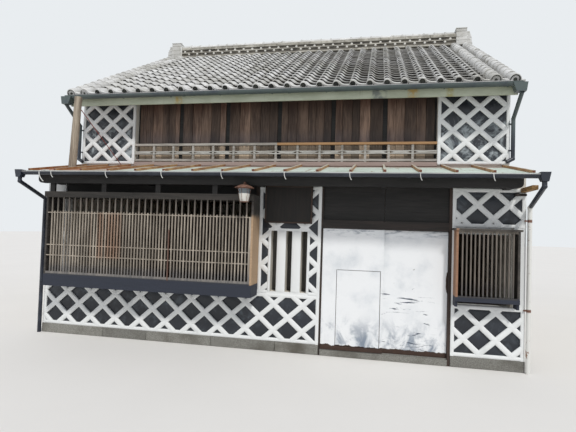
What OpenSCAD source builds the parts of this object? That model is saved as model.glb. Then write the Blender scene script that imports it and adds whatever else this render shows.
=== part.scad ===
// Two-storey townhouse with a set-back upper storey, lattice bays, raised
// plaster lattice over dark wall tiles, plaster-faced doors and a tiled roof.
// Millimetres. X = 0 is the middle of the front, Y = 0 the centre line of the
// front posts, Z = 0 the ground. The street side faces -Y.

/* [Plan] */
// Post spacing of the plan, eight of them across the front
half_ken = 910; // [880:5:940]
// Thickness of the earthen front, back and upper walls
wall_t = 150; // [130:5:180]
// Thickness of the party walls at both ends
side_t = 180; // [150:5:210]
// How far the raised plaster bars stand out of the wall
relief = 25; // [18:1:35]
// How far the upper storey is set back from the lower front
set_back = 807; // [760:1:860]
// Level distance from the upper front wall to the ridge
half_span = 3438; // [3200:1:3600]

/* [Levels] */
// Top of the stone plinth
plinth_h = 150; // [120:5:170]
// Top of the ground floor
ground_top = 80; // [60:5:100]
// Top of the lattice dado and of the window sills
dado_top = 860; // [830:5:890]
// Top of the slot window and of the small bay opening
window_top = 1850; // [1800:5:1880]
// Top of the wall openings at the front
head_top = 2490; // [2470:5:2520]
// Top of the upper floor
floor_top = 2700; // [2690:5:2720]
// Thickness of the upper floor
floor_t = 60; // [40:5:80]
// Underside of the raised lattice on the upper wings
wing_foot = 2950; // [2940:5:2970]
// Top of the shutter opening
shutter_top = 4120; // [4100:5:4150]

/* [Main roof] */
// Slope of the main roof in degrees
roof_pitch = 28.9; // [28:0.1:31]
// Distance of the eave tile ends in front of the upper wall line
eave_out = 529; // [500:1:560]
// Height of the eave tile ends
eave_z = 4153; // [4130:1:4180]
// Thickness of rafters, boards and tile bed together
roof_t = 100; // [80:5:120]
// How far the large tiles at the verges stand past the party walls
verge_out = 12; // [6:1:20]
// Number of small pantile rows between the verge rows
tile_rows = 25; // [23:2:25]
// Radius of the small tile rolls
roll_r = 46; // [40:1:50]
// Radius of the large round tiles along the verges
verge_r = 74; // [66:1:80]
// Depth of the hollow between two tile rolls
trough = 24; // [16:1:30]
// Height of the fascia board below the eave
fascia_h = 156; // [136:2:170]

/* [Ridge] */
// Height of the ridge stack with its round caps
ridge_h = 375; // [350:5:400]
// Width of the ridge stack at its foot
ridge_w = 300; // [280:5:320]
// Radius of the round caps along the ridge
cap_r = 100; // [90:2:106]
// Width of a ridge end ornament along the ridge
ornament_t = 245; // [230:5:260]
// Height of a ridge end ornament
ornament_h = 470; // [450:5:490]
// How far the layers under an ornament step out past it
ornament_step = 115; // [90:5:120]

/* [Street roof] */
// Slope of the sheet metal street roof in degrees
pent_pitch = 11.4; // [11:0.1:13]
// Distance of its eave in front of the front post line
pent_out = 660; // [620:5:700]
// Height of its sheet at the eave
pent_z = 2635; // [2620:1:2650]
// Thickness of its boards and sheet
pent_t = 26; // [20:1:32]
// Height of a batten
batten_h = 36; // [28:1:44]
// Width of a batten
batten_w = 34; // [28:1:40]

/* [Gutters] */
// Depth of the upper gutter
gutter_h = 62; // [58:1:66]
// Thickness of gutter sheet
gutter_t = 4; // [3:0.5:6]
// Width of the upper gutter
gutter_w = 104; // [96:2:110]
// Depth of the lower gutter
low_gutter_h = 50; // [46:1:56]
// Width of the lower gutter
low_gutter_w = 84; // [76:1:90]
// Diameter of the rain pipes
pipe_d = 60; // [50:1:70]

/* [Doors] */
// Height of the door leaves
door_h = 1773; // [1760:1:1790]
// Height of the rail top that the leaves stand on
door_z = 95; // [90:1:100]
// Thickness of a door leaf
leaf_t = 32; // [28:1:38]
// Height of the rail over the leaves
head_rail_h = 127; // [115:1:140]
// Clearance round the leaves
door_gap = 5; // [5:0.5:7]
// How far the two leaves lap
leaf_lap = 10; // [6:1:20]
// Width of the wicket
wicket_w = 625; // [600:5:640]
// Height of the wicket
wicket_h = 1100; // [1050:5:1120]
// Height of the leaf's rail under the wicket
wicket_sill = 60; // [50:5:80]
// Width of the left leaf's stile beside the wicket, at the meeting edge
wicket_stile = 48; // [44:1:60]
// Clearance round the wicket
wicket_gap = 8; // [7.5:0.5:10]
// Diameter of the wicket's pivot pins
pivot_d = 8; // [6:1:8]

/* [Large bay] */
// Distance from its slats' face to the front post line
bay_out = 450; // [430:5:470]
// Spacing of its long slats
slat_pitch = 101; // [96:1:106]
// Width of a slat
slat_w = 18; // [16:1:22]
// Depth of a slat
slat_d = 20; // [16:1:24]
// Foot of the sill board
bay_foot = 830; // [810:5:850]
// Height of the sill board
bay_sill_h = 180; // [160:5:190]
// Underside of the cap
bay_cap_z = 2240; // [2220:5:2250]
// Height of the cap
bay_cap_h = 90; // [80:5:95]
// Top of the short slats
short_top = 2020; // [1990:5:2040]
// Height of the thin rails
rail_h = 14; // [10:1:18]
// Thickness of the bays' boards
board_t = 30; // [26:1:36]

/* [Small bay] */
// Distance from its slats' face to the front post line
bay2_out = 290; // [270:5:310]
// Number of slats
bay2_slats = 13; // [11:1:15]

/* [Raised lattice] */
// Spacing of the crossings along the street
cross_w = 440; // [420:2:450]
// Spacing of the crossings upwards
cross_h = 390; // [370:2:400]
// Width of a raised plaster bar
bar_w = 76; // [66:1:86]
// Width of the raised border
border_w = 50; // [44:1:60]

/* [Upper front] */
// Half the width of the shutter opening
open_half = 2655; // [2630:5:2680]
// Depth of the shutters' face behind the wall face
shutter_in = 108; // [96:1:116]
// Thickness of a shutter
shutter_t = 30; // [24:1:36]
// Number of shutters
shutters_n = 6; // [5:1:7]
// Number of balustrade bays
bal_bays = 14; // [12:1:16]
// Top of the balustrade's handrail
rail_top = 3320; // [3300:5:3350]
// Top of the board at the balustrade's foot
foot_top = 2990; // [2980:2:3000]
// Height of that board
foot_h = 68; // [60:2:70]

/* [Back] */
// Half the width of the back openings
back_half = 1365; // [1200:5:1500]

/* [Hidden] */
$fn = 48;
eps = 0.01;
seat = 0.3;

x_in = 4*half_ken - side_t/2;     // inner face of the party walls
x_out = 4*half_ken + side_t/2;    // outer face of the party walls
core_f = -wall_t/2;               // face of the tiles
bar_f = core_f - relief;          // face of the raised plaster
core_b = wall_t/2;
up_f = set_back - wall_t/2;       // upper storey, face of the tiles
up_b = set_back + wall_t/2;
up_bar = up_f - relief;
ridge_y = set_back + half_span;
back_f = 2*ridge_y - up_b;        // inner face of the back wall
back_b = 2*ridge_y - up_f;
eave_y = set_back - eave_out;
tr = tan(roof_pitch);
function deck_z(y) = eave_z + tr*((y < ridge_y ? y : 2*ridge_y - y) - eave_y);
function under_z(y) = deck_z(y) - roof_t/cos(roof_pitch) - seat;
tp = tan(pent_pitch);
pent_f = -pent_out;
function pent_top(y) = pent_z + tp*(y - pent_f);
function pent_under(y) = pent_top(y) - pent_t/cos(pent_pitch) - seat;
slope_l = (ridge_y - eave_y)/cos(roof_pitch);
roof_x = x_out + verge_out;
verge_x = roof_x - verge_r;           // outer large row
tile_w = 2*verge_x/(tile_rows + 3);   // spacing of the tile rows
row_x = verge_x - tile_w;             // inner large row
stack_l = verge_x - 205;              // half the length of the ridge stack
gut_drop = 56;                        // upper gutter's rim below the tile ends
gut_z = eave_z - gut_drop;
gut_y = eave_y + gut_drop*tr - 1 - gutter_w/2;     // its middle
low_gut_z = pent_z - 22;              // rim of the lower gutter

// Front openings and sections between the post lines
win_x0 = -30;
win_x1 = half_ken + 14;
door_x0 = half_ken + 39;
door_x1 = 3*half_ken + 5;
rt_x0 = 3*half_ken + 45;
bay_x0 = -4*half_ken + 170;
bay_x1 = -30;
bay2_x0 = rt_x0 + 25;
bay2_x1 = x_out - 120;
bay2_cap = window_top + 78;
head_z = door_z + door_h + door_gap;
trans_z = head_z + head_rail_h;

// ---- helpers ----
module box(a, b) translate(a) cube(b - a);
// profile in the Y-Z plane, drawn from x0 to x1
module along_x(x0, x1) translate([x0, 0, 0]) rotate([90, 0, 90]) linear_extrude(x1 - x0) children();
// profile in the X-Z plane, drawn from y0 to y1
module along_y(y0, y1) translate([0, y1, 0]) rotate([90, 0, 0]) linear_extrude(y1 - y0) children();
module twin() { children(); mirror([1, 0, 0]) children(); }
module back_twin() { children(); translate([0, 2*ridge_y, 0]) mirror([0, 1, 0]) children(); }
module rod(a, b, d) {
  v = b - a; l = norm(v);
  translate(a) rotate([0, acos(v[2]/l), atan2(v[1], v[0])]) cylinder(d = d, h = l);
}

// Field of diamonds: px and pz are the spacing of the crossings, one of which
// lies at (cx, cz); the panes are what is left between the bars.
module diamonds(x0, z0, x1, z1, cx, cz, px, pz) {
  hx = px/2; hz = pz/2;
  k = bar_w/2*norm([hx, hz]);
  dx = hx - k/hz; dz = hz - k/hx;
  for (i = [floor((x0 - cx)/hx) - 1 : ceil((x1 - cx)/hx) + 1],
       j = [floor((z0 - cz)/hz) - 1 : ceil((z1 - cz)/hz) + 1])
    if (abs(i + j) % 2 == 1 && cx + i*hx + dx > x0 + 12 && cx + i*hx - dx < x1 - 12
        && cz + j*hz + dz > z0 + 12 && cz + j*hz - dz < z1 - 12)
      intersection() {
        translate([cx + i*hx, cz + j*hz]) polygon([[-dx, 0], [0, -dz], [dx, 0], [0, dz]]);
        translate([x0, z0]) square([x1 - x0, z1 - z0]);
      }
}
module lattice_panel(x0, z0, x1, z1, cx, cz, px, pz) difference() {
  translate([x0, z0]) square([x1 - x0, z1 - z0]);
  diamonds(x0 + border_w, z0 + border_w, x1 - border_w, z1 - border_w, cx, cz, px, pz);
}

// ---- ground ----
module plinth() color("dimgray") {
  p = 10;
  difference() {
    box([-x_out - p, bar_f - p, 0], [x_out + p, back_b + relief + p, plinth_h]);
    box([-x_in, core_b, -1], [x_in, back_f, plinth_h + 1]);
    box([win_x1, bar_f - p - 1, -1], [rt_x0, core_b + 1, plinth_h + 1]);
  }
}
leaf_y1 = bar_f + 12 + leaf_t;           // back of the front leaf
leaf2_y0 = leaf_y1 + door_gap;
leaf2_y1 = leaf2_y0 + leaf_t;
guide = 10;                              // height and width of the guide rails
module threshold() color("dimgray") {
  box([door_x0, bar_f - 10, 0], [door_x1, core_b, door_z - guide]);
  for (y = [leaf_y1 - leaf_t/2, leaf2_y1 - leaf_t/2])
    box([door_x0, y - guide/2, door_z - guide - eps], [door_x1, y + guide/2, door_z + guide/2]);
}
module ground_floor() color("tan") box([-x_in, core_b, 0], [x_in, back_f, ground_top]);
module upper_floor() color("peru") box([-x_in, core_b, floor_top - floor_t], [x_in, back_f, floor_top]);

// ---- party walls ----
module party_wall(x0, x1) along_x(x0, x1) polygon([
  [core_f, plinth_h], [back_b, plinth_h], [back_b, under_z(back_b)], [ridge_y, under_z(ridge_y)],
  [up_f, under_z(up_f)], [up_f, pent_under(up_f)], [core_f, pent_under(core_f)]]);
module party_wall_left() color("gainsboro") party_wall(-x_out, -x_in);
module party_wall_right() color("gainsboro") party_wall(x_in, x_out);

// ---- lower front ----
slot_w = 95;
slot_z0 = dado_top + 35;
slot_z1 = window_top - 37;
slot_x = [for (i = [-1:1]) (win_x0 + win_x1)/2 - 7 + i*231];
module dado_wall() color("white") box([-x_in, core_f, plinth_h], [win_x1, core_b, dado_top]);
module window_wall() color("white") difference() {
  box([win_x0, core_f, dado_top], [win_x1, core_b, head_top]);
  for (x = slot_x) box([x - slot_w/2, core_f - 1, slot_z0], [x + slot_w/2, core_b + 1, slot_z1]);
}
module front_walls() color("white") {
  // beside the large bay, and round the small one
  box([-x_in, bar_f, dado_top], [bay_x0 + board_t + 40, core_b, head_top]);
  difference() {
    box([rt_x0, core_f, plinth_h], [x_in, core_b, head_top]);
    box([bay2_x0 + board_t, core_f - 1, dado_top], [x_in + 1, core_b + 1, window_top]);
  }
}
module front_posts() color("saddlebrown") {
  box([win_x0 - 60, bar_f, dado_top], [win_x0, core_b, head_top]);
  box([win_x1, bar_f, 0], [door_x0, core_b, head_top]);
  box([door_x1, bar_f, 0], [rt_x0, core_b, head_top]);
}
module door_head() color("saddlebrown") difference() {
  box([door_x0, bar_f, head_z], [door_x1, core_b, trans_z]);
  for (y = [leaf_y1 - leaf_t/2, leaf2_y1 - leaf_t/2])
    box([door_x0 - 1, y - leaf_t/4 - door_gap, head_z - 1], [door_x1 + 1, y + leaf_t/4 + door_gap, head_z + 30]);
}
module transoms() color("black") {
  z0 = trans_z;
  xm = (door_x0 + door_x1)/2;
  box([door_x0, bar_f + 30, z0], [xm - 2, bar_f + 60, head_top]);
  box([xm + 2, bar_f + 30, z0], [door_x1, bar_f + 60, head_top]);
  box([bay_x0 + board_t + 40, bar_f + 30, bay_cap_z], [win_x0 - 60, bar_f + 60, head_top]);
}
module wall_plate() color("saddlebrown") along_x(-x_in, x_in)
  polygon([[bar_f, head_top], [core_b, head_top], [core_b, pent_under(core_b)], [bar_f, pent_under(bar_f)]]);
cross_0 = 14;                            // a crossing under the bay post
dado_mid = (plinth_h + dado_top)/2 + 3;
module dado_lattice() color("white") {
  along_y(bar_f, core_f) lattice_panel(-x_out, plinth_h, win_x1, dado_top, cross_0, dado_mid, cross_w, cross_h);
  box([-x_out, bar_f, dado_top], [-x_in, core_f, head_top]);
}
module window_lattice() color("white") {
  // beside and over the slot window
  sx0 = slot_x[0] - slot_w/2 - 40; sx1 = slot_x[2] + slot_w/2 + 40;
  along_y(bar_f, core_f) difference() {
    lattice_panel(win_x0, dado_top, win_x1, head_top, cross_0, dado_mid + cross_h, cross_w, cross_h);
    translate([sx0, dado_top - 1]) square([sx1 - sx0, window_top - dado_top + 1]);
  }
  along_y(bar_f, core_f) difference() {
    translate([sx0, dado_top]) square([sx1 - sx0, window_top - dado_top]);
    for (x = slot_x) translate([x - slot_w/2, slot_z0]) square([slot_w, slot_z1 - slot_z0]);
  }
}
module right_lattice() color("white") {
  along_y(bar_f, core_f) lattice_panel(rt_x0, plinth_h, x_out, dado_top, x_out - 578, dado_mid + 82, cross_w*0.96, cross_h);
  along_y(bar_f, core_f) lattice_panel(rt_x0, bay2_cap + 20, x_out, head_top, x_out - 625, head_top - 226, cross_w*0.94, cross_h);
  box([rt_x0, bar_f, dado_top], [bay2_x0 + board_t, core_f, bay2_cap + 20]);
  box([bay2_x1 - board_t, bar_f, dado_top], [x_out, core_f, bay2_cap + 20]);
}

// ---- doors ----
leaf_w = (door_x1 - door_x0 - 2*door_gap + leaf_lap)/2;
l_x0 = door_x0 + door_gap;
l_x1 = l_x0 + leaf_w;
r_x1 = door_x1 - door_gap;
r_x0 = r_x1 - leaf_w;
w_x1 = l_x1 - wicket_stile;
w_x0 = w_x1 - wicket_w;
w_z0 = door_z + wicket_sill + wicket_gap;
w_z1 = w_z0 + wicket_h;
pivot_in = 3;                            // pin's side to the edges
module leaf(x0, x1, y0) difference() {
  union() {
    box([x0, y0, door_z], [x1, y0 + leaf_t, door_z + door_h]);
    box([x0, y0 + leaf_t/4, door_z + door_h - eps], [x1, y0 + leaf_t*3/4, door_z + door_h + 22]);
  }
  box([x0 - 1, y0 + leaf_t/2 - guide/2 - 1.5, door_z - 1], [x1 + 1, y0 + leaf_t/2 + guide/2 + 1.5, door_z + guide/2 + seat]);
}
module pivot(z0, z1) translate([w_x0 + pivot_d/2 + pivot_in, leaf_y1 - leaf_t + pivot_d/2 + pivot_in, z0])
  cylinder(d = pivot_d, h = z1 - z0);
module door_left() color("whitesmoke") {
  difference() {
    leaf(l_x0, l_x1, leaf_y1 - leaf_t);
    box([w_x0 - wicket_gap, leaf_y1 - leaf_t - 1, w_z0 - wicket_gap], [w_x1 + wicket_gap, leaf_y1 + 1, w_z1 + wicket_gap]);
  }
  pivot(w_z0 - wicket_gap - eps, w_z0 + 14);
  pivot(w_z1 - 14, w_z1 + wicket_gap + eps);
}
module door_right() color("whitesmoke") leaf(r_x0, r_x1, leaf2_y0);
module wicket() color("whitesmoke") difference() {
  box([w_x0, leaf_y1 - leaf_t, w_z0], [w_x1, leaf_y1, w_z1]);
  translate([w_x0 + pivot_d/2 + pivot_in, leaf_y1 - leaf_t + pivot_d/2 + pivot_in, 0]) {
    translate([0, 0, w_z0 - 1]) cylinder(d = pivot_d + 2*seat, h = 15 + seat + 1);
    translate([0, 0, w_z1 - 14 - seat]) cylinder(d = pivot_d + 2*seat, h = 16);
  }
}

// ---- large bay ----
bay_f = -bay_out;
bay_b = bay_f + slat_d;
module bay_frame() color("dimgray") {
  // sill board, cap and bottom board
  box([bay_x0, bay_f - 12, bay_foot], [bay_x1, bay_b, bay_foot + bay_sill_h]);
  box([bay_x0 - 20, bay_f - 30, bay_cap_z], [bay_x1, bar_f, bay_cap_z + bay_cap_h]);
  box([bay_x0 + board_t, bay_b - eps, bay_foot + 20], [bay_x1 - board_t, bar_f, bay_foot + 20 + board_t]);
  // cheeks
  for (x = [bay_x0, bay_x1 - board_t])
    box([x, bay_b - eps, bay_foot], [x + board_t, bar_f, bay_cap_z + eps]);
  for (x = [bay_x0, bay_x1 - board_t])
    box([x, bay_f, bay_foot + bay_sill_h - eps], [x + board_t, bay_b, bay_cap_z + eps]);
}
bay_z0 = bay_foot + bay_sill_h;
bay_in0 = bay_x0 + board_t;
bay_in1 = bay_x1 - board_t;
slats_n = floor((bay_in1 - bay_in0)/slat_pitch);
slat_0 = (bay_in0 + bay_in1)/2 - (slats_n - 1)*slat_pitch/2;
bay_rails = [bay_z0 + 35, bay_z0 + 298, bay_z0 + 464, short_top - 32];
module bay_lattice() color("tan") {
  along_y(bay_f, bay_b) difference() {
    translate([bay_in0, bay_z0]) square([bay_in1 - bay_in0, bay_cap_z - bay_z0]);
    // gaps between the slats, one row between each two rails
    for (i = [0 : 2*slats_n], r = [0 : 3]) {
      x0 = i == 0 ? bay_in0 - 1 : slat_0 + (i - 1)*slat_pitch/2 + slat_w/2;
      x1 = i == 2*slats_n ? bay_in1 + 1 : slat_0 + i*slat_pitch/2 - slat_w/2;
      z = bay_rails;
      z_up = r == 3 ? 0 : z[r + 1];
      if (r < 3 && x1 > x0 && i < 2*slats_n) translate([x0, z[r] + rail_h]) square([x1 - x0, z_up - z[r] - rail_h]);
    }
    for (i = [0 : slats_n]) {
      x0 = i == 0 ? bay_in0 - 1 : slat_0 + (i - 1)*slat_pitch + slat_w/2;
      x1 = i == slats_n ? bay_in1 + 1 : slat_0 + i*slat_pitch - slat_w/2;
      if (x1 > x0) translate([x0, bay_rails[3] + rail_h]) square([x1 - x0, bay_cap_z]);
    }
  }
  // tips of the short slats above the top rail
  along_y(bay_f, bay_b) for (i = [0 : slats_n - 2])
    translate([slat_0 + (i + 0.5)*slat_pitch - slat_w/2, bay_rails[3] + rail_h - 1]) square([slat_w, short_top - bay_rails[3] - rail_h + 1]);
}

// ---- small bay ----
bay2_f = -bay2_out;
bay2_b = bay2_f + slat_d;
bay2_z0 = dado_top + 130;                // top of its sill
module small_bay_frame() color("dimgray") {
  box([bay2_x0 - 25, bay2_f - 20, bay2_cap - 28], [bay2_x1 + 25, bar_f, bay2_cap]);
  box([bay2_x0, bay2_f - 6, bay2_z0 - 55], [bay2_x1, bay2_b, bay2_z0]);
  box([bay2_x0 + board_t, bay2_b - eps, bay2_z0 - 50], [bay2_x1 - board_t, bar_f, bay2_z0 - 50 + board_t]);
  for (x = [bay2_x0, bay2_x1 - board_t]) {
    box([x, bay2_b - eps, dado_top], [x + board_t, bar_f, bay2_cap - 28 + eps]);
    box([x, bay2_f, bay2_z0 - eps], [x + board_t, bay2_b, bay2_cap - 28 + eps]);
  }
}
module small_bay_lattice() color("tan") along_y(bay2_f, bay2_b) {
  a = bay2_x0 + board_t; b = bay2_x1 - board_t;
  p = (b - a)/(bay2_slats + 1);
  difference() {
    translate([a, bay2_z0]) square([b - a, bay2_cap - 28 - bay2_z0]);
    for (i = [0 : bay2_slats])
      translate([a + i*p + (i == 0 ? -1 : slat_w/2), bay2_z0 + 20])
        square([p - (i == 0 || i == bay2_slats ? slat_w/2 - 1 : slat_w), bay2_cap - 78 - bay2_z0]);
  }
}

// ---- street roof ----
module on_pent() translate([0, pent_f, pent_z]) rotate([pent_pitch, 0, 0]) children();
pent_x = 4*half_ken + 50;
pent_l = (up_bar - pent_f)/cos(pent_pitch);
module street_roof() color("rosybrown") difference() {
  on_pent() box([-pent_x, 0, -pent_t], [pent_x, pent_l + 40, 0]);
  box([-pent_x - 1, up_f, 0], [pent_x + 1, up_f + 200, 4000]);
  // round the foot of the raised lattice on the wings
  twin() box([open_half, up_bar, wing_foot - seat], [x_out + 1, up_f + 1, 4000]);
}
module roof_battens() color("peru") difference() {
  on_pent() for (i = [-8 : 8])
    translate([i*half_ken/2, 0, 0]) box([-batten_w/2, 4, seat], [batten_w/2, pent_l + 20, seat + batten_h]);
  box([-pent_x - 1, up_bar - seat, 0], [pent_x + 1, up_f + 200, 4000]);
}
module street_fascia() color("honeydew")
  box([-pent_x, pent_f - 14, pent_z - 55], [pent_x, pent_f - seat, pent_z + 4]);
module street_gutter() color("midnightblue") {
  y1 = pent_f - 14 - seat; y0 = y1 - low_gutter_w;
  z1 = low_gut_z; z0 = z1 - low_gutter_h;
  difference() {
    along_x(-pent_x + 5, pent_x - 5) gutter_shape((y0 + y1)/2, z1, low_gutter_w/2, low_gutter_h);
    along_x(-pent_x + 5 + gutter_t, pent_x - 5 - gutter_t)
      gutter_shape((y0 + y1)/2, z1 + 1, low_gutter_w/2 - gutter_t, low_gutter_h - gutter_t + 1);
  }
  // rain heads at both ends
  twin() along_y(y0 - 15, y1 - 2) polygon([[pent_x - 5, z1 + 27], [pent_x + 110, z1 + 27], [pent_x + 85, z0 - 40], [pent_x + 15, z0 - 40], [pent_x - 5, z0]]);
}
purlin_y0 = 120 - pent_out; purlin_y1 = purlin_y0 + 100; purlin_z0 = pent_z - 175;
module purlin() intersection() {
  along_x(-4*half_ken + 77, 4*half_ken - 77)
    polygon([[purlin_y0, purlin_z0], [purlin_y1, purlin_z0], [purlin_y1, pent_under(purlin_y1)], [purlin_y0, pent_under(purlin_y0)]]);
  along_y(purlin_y0 - 1, purlin_y1 + 1) {
    r = 60; e = 4*half_ken - 77;
    translate([-e + r, purlin_z0]) square([2*e - 2*r, 300]);
    translate([-e, purlin_z0 + r]) square([2*e, 300]);
    for (s = [-1, 1]) translate([s*(e - r), purlin_z0 + r]) circle(r);
  }
}
module roof_purlin() color("saddlebrown") {
  purlin();
  // arms that reach it from the wall
  for (x = [-3.8*half_ken, -2*half_ken, 0, 2*half_ken, 3.8*half_ken])
    box([x - 45, purlin_y1 - 1, purlin_z0 + 10], [x + 45, bar_f, purlin_z0 + 130]);
  // struts that stand on the cap of the large bay
  for (i = [1 : 4], x = [288 - i*half_ken])
    box([x - 40, purlin_y0 + 60, bay_cap_z + bay_cap_h], [x + 40, purlin_y1, purlin_z0 + 1]);
}

// ---- things hung on the front ----
module name_plank() color("black") {
  x0 = win_x0 + 95; x1 = x0 + 725; y1 = bar_f - 24;
  box([x0, y1 - 28, window_top + 80], [x1, y1, head_top]);
  for (x = [x0 + 60, x1 - 100]) box([x, y1 - eps, window_top + 110], [x + 40, bar_f, head_top - 20]);
}
module lamp() color("sienna") {
  x = -132;
  translate([x, purlin_y0 - 60, purlin_z0]) {
    translate([0, 0, -252]) cylinder(r1 = 60, r2 = 90, h = 192);
    translate([0, 0, -60 - eps]) cylinder(r = 94, h = 10);
    translate([0, 0, -50 - 2*eps]) cylinder(r1 = 140, r2 = 30, h = 56);
    translate([0, 0, 6 - 3*eps]) cylinder(r = 12, h = 32);
  }
  rod([x, purlin_y0 - 60, purlin_z0 + 26], [x, purlin_y0, purlin_z0 + 26], 16);
}

// ---- upper front ----
module upper_walls() color("white") twin()
  along_x(open_half, x_in) polygon([[up_f, floor_top], [up_b, floor_top], [up_b, under_z(up_b)], [up_f, under_z(up_f)]]);
module upper_lattice() color("white") {
  z1 = eave_z + 27;
  along_y(up_bar, up_f) lattice_panel(open_half, wing_foot, x_out, z1, x_out - 846, z1 - 315, cross_w*0.911, cross_h*0.954);
  along_y(up_bar, up_f) lattice_panel(-x_out, wing_foot, -open_half, z1, 414 - x_out, z1 - 300, cross_w*0.895, cross_h*0.903);
}
sill_z = foot_top;
module shutter_frame() color("saddlebrown") {
  // wall under the shutters, board at the balustrade's foot, and head
  box([-open_half, up_f, floor_top], [open_half, up_b, sill_z]);
  box([-open_half, up_bar, max(foot_top - foot_h, pent_top(up_f) + 2)], [open_half, up_b, sill_z]);
  along_x(-open_half, open_half) polygon([[up_f, shutter_top], [up_b, shutter_top], [up_b, under_z(up_b)], [up_f, under_z(up_f)]]);
}
module shutters() color("sienna") {
  w = 2*open_half/shutters_n; y = up_f + shutter_in - relief;
  for (i = [0 : shutters_n - 1])
    box([-open_half + i*w + 2, y, sill_z], [-open_half + (i + 1)*w - 2, y + shutter_t, shutter_top]);
  // the back rows, one a storey
  bw = 2*back_half/3; by = back_b - 60;
  for (i = [0 : 2], z = [[back_sill, back_sill + 1120], [dado_top, window_top]])
    box([-back_half + i*bw + 2, by, z[0]], [-back_half + (i + 1)*bw - 2, by + shutter_t, z[1]]);
}
module balustrade() color("gray") {
  y0 = up_bar + 8; y1 = y0 + 46;
  p = 2*open_half/bal_bays;
  // posts
  for (i = [1 : bal_bays - 1])
    translate([-open_half + i*p, 0, 0]) box([-19, y0 + 4, sill_z], [19, y1 - 4, rail_top - 30]);
  // handrail and lower rail
  box([-open_half, y0 - 6, rail_top - 38], [open_half, y1 + 6, rail_top]);
  box([-open_half, y0 + 2, rail_top - 315], [open_half, y1 - 2, rail_top - 278]);
  // middle rail, cut out in a long diamond round each post
  along_y(y0, y1) difference() {
    translate([-open_half, rail_top - 194]) square([2*open_half, 57]);
    for (i = [1 : bal_bays - 1])
      translate([-open_half + i*p, rail_top - 165.5]) polygon([[-83, 0], [0, -22], [83, 0], [0, 22]]);
  }
}

// ---- back ----
back_sill = 2930;
module back_wall() color("white") difference() {
  along_x(-x_in, x_in) polygon([[back_f, plinth_h], [back_b, plinth_h], [back_b, under_z(back_b)], [back_f, under_z(back_f)]]);
  box([-back_half, back_f - 1, back_sill], [back_half, back_b + 1, back_sill + 1120]);
  box([-back_half, back_f - 1, dado_top], [back_half, back_b + 1, window_top]);
}

// ---- main roof ----
module on_slope() translate([0, eave_y, eave_z]) rotate([roof_pitch, 0, 0]) children();
// profile drawn across the slope, run up it from s0 to s1
module up_slope(s0, s1) translate([0, s1, 0]) rotate([90, 0, 0]) linear_extrude(s1 - s0) children();
module roof_profile() {
  hw = tile_w/2 - roll_r*0.8;
  r = (hw*hw + trough*trough)/(2*trough);
  difference() {
    union() {
      translate([-roof_x + 8, -roof_t]) square([2*roof_x - 16, roof_t + 8]);
      for (i = [0 : tile_rows - 1]) translate([(i - (tile_rows - 1)/2)*tile_w, 0]) circle(roll_r);
      for (s = [-1, 1], x = [row_x, verge_x]) translate([s*x, 0]) circle(verge_r);
    }
    for (i = [0 : tile_rows]) translate([(i - tile_rows/2)*tile_w, 8 - trough + r]) circle(r, $fn = 180);
    for (s = [-1, 1]) translate([s*(row_x + tile_w/2) - 48, -12]) square([96, 60]);
    // the large tiles bed on the boards
    translate([-roof_x - 60, -roof_t - 200]) square([2*roof_x + 120, 200]);
  }
}
module slope() difference() {
  on_slope() up_slope(0, slope_l + 60) roof_profile();
  box([-roof_x - 100, ridge_y - seat/2, 0], [roof_x + 100, ridge_y + 600, 9000]);
  // flat seat of the ridge
  box([-roof_x - 100, ridge_y - ridge_w/2 - 2, ridge_z0 - seat], [roof_x + 100, ridge_y + 1, 9000]);
}
module roof_front() color("slategray") slope();
module roof_back() color("slategray") translate([0, 2*ridge_y, 0]) mirror([0, 1, 0]) slope();
ridge_z0 = deck_z(ridge_y - ridge_w/2) + 22;
module ridge_stack() color("gray") {
  t = ridge_h - cap_r;                   // top of the flat layers
  along_x(-stack_l, stack_l) {
    // foot, thin middle and thick top layer
    translate([ridge_y - ridge_w/2, ridge_z0]) square([ridge_w, t*0.15]);
    translate([ridge_y - ridge_w/2 + 12, ridge_z0 + t*0.42]) square([ridge_w - 24, t*0.08]);
    translate([ridge_y - ridge_w/2 + 12, ridge_z0 + t*0.72]) square([ridge_w - 24, t*0.28]);
    // the two rows of round tile ends between them
    translate([ridge_y - ridge_w/2 + 34, ridge_z0 + 1]) square([ridge_w - 68, t - 2]);
    // round caps
    intersection() {
      translate([ridge_y, ridge_z0 + t - 2]) circle(cap_r);
      translate([ridge_y - ridge_w/2, ridge_z0 + t - 40]) square([ridge_w, ridge_h]);
    }
  }
}
module ridge_ends() color("gray") twin() {
  x0 = stack_l + seat; x1 = stack_l + ornament_t;
  // layers that step out over the verge, from the foot to the ornament
  steps = [[0, 0.234, 1, 0], [0.23, 0.51, 0.91, 18], [0.5, 0.7, 0.64, 36], [0.69, 0.86, 0, 50]];
  for (s = steps)
    box([x0, ridge_y - ridge_w/2 + s[3], ridge_z0 + s[0]*ornament_h],
        [x1 + s[2]*ornament_step, ridge_y + ridge_w/2 - s[3], ridge_z0 + s[1]*ornament_h]);
  // its peak
  along_x(x0 + 30, x1 - 30) translate([ridge_y, ridge_z0])
    polygon([[-90, 0.85*ornament_h], [90, 0.85*ornament_h], [40, ornament_h], [-40, ornament_h]]);
}
module fascias() color("darkseagreen") back_twin() {
  y0 = eave_y + 72; y1 = y0 + 30;
  along_x(-roof_x + 8, roof_x - 8) polygon([[y0, under_z(y1) - fascia_h], [y1, under_z(y1) - fascia_h], [y1, under_z(y1)], [y0, under_z(y0)]]);
}
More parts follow.
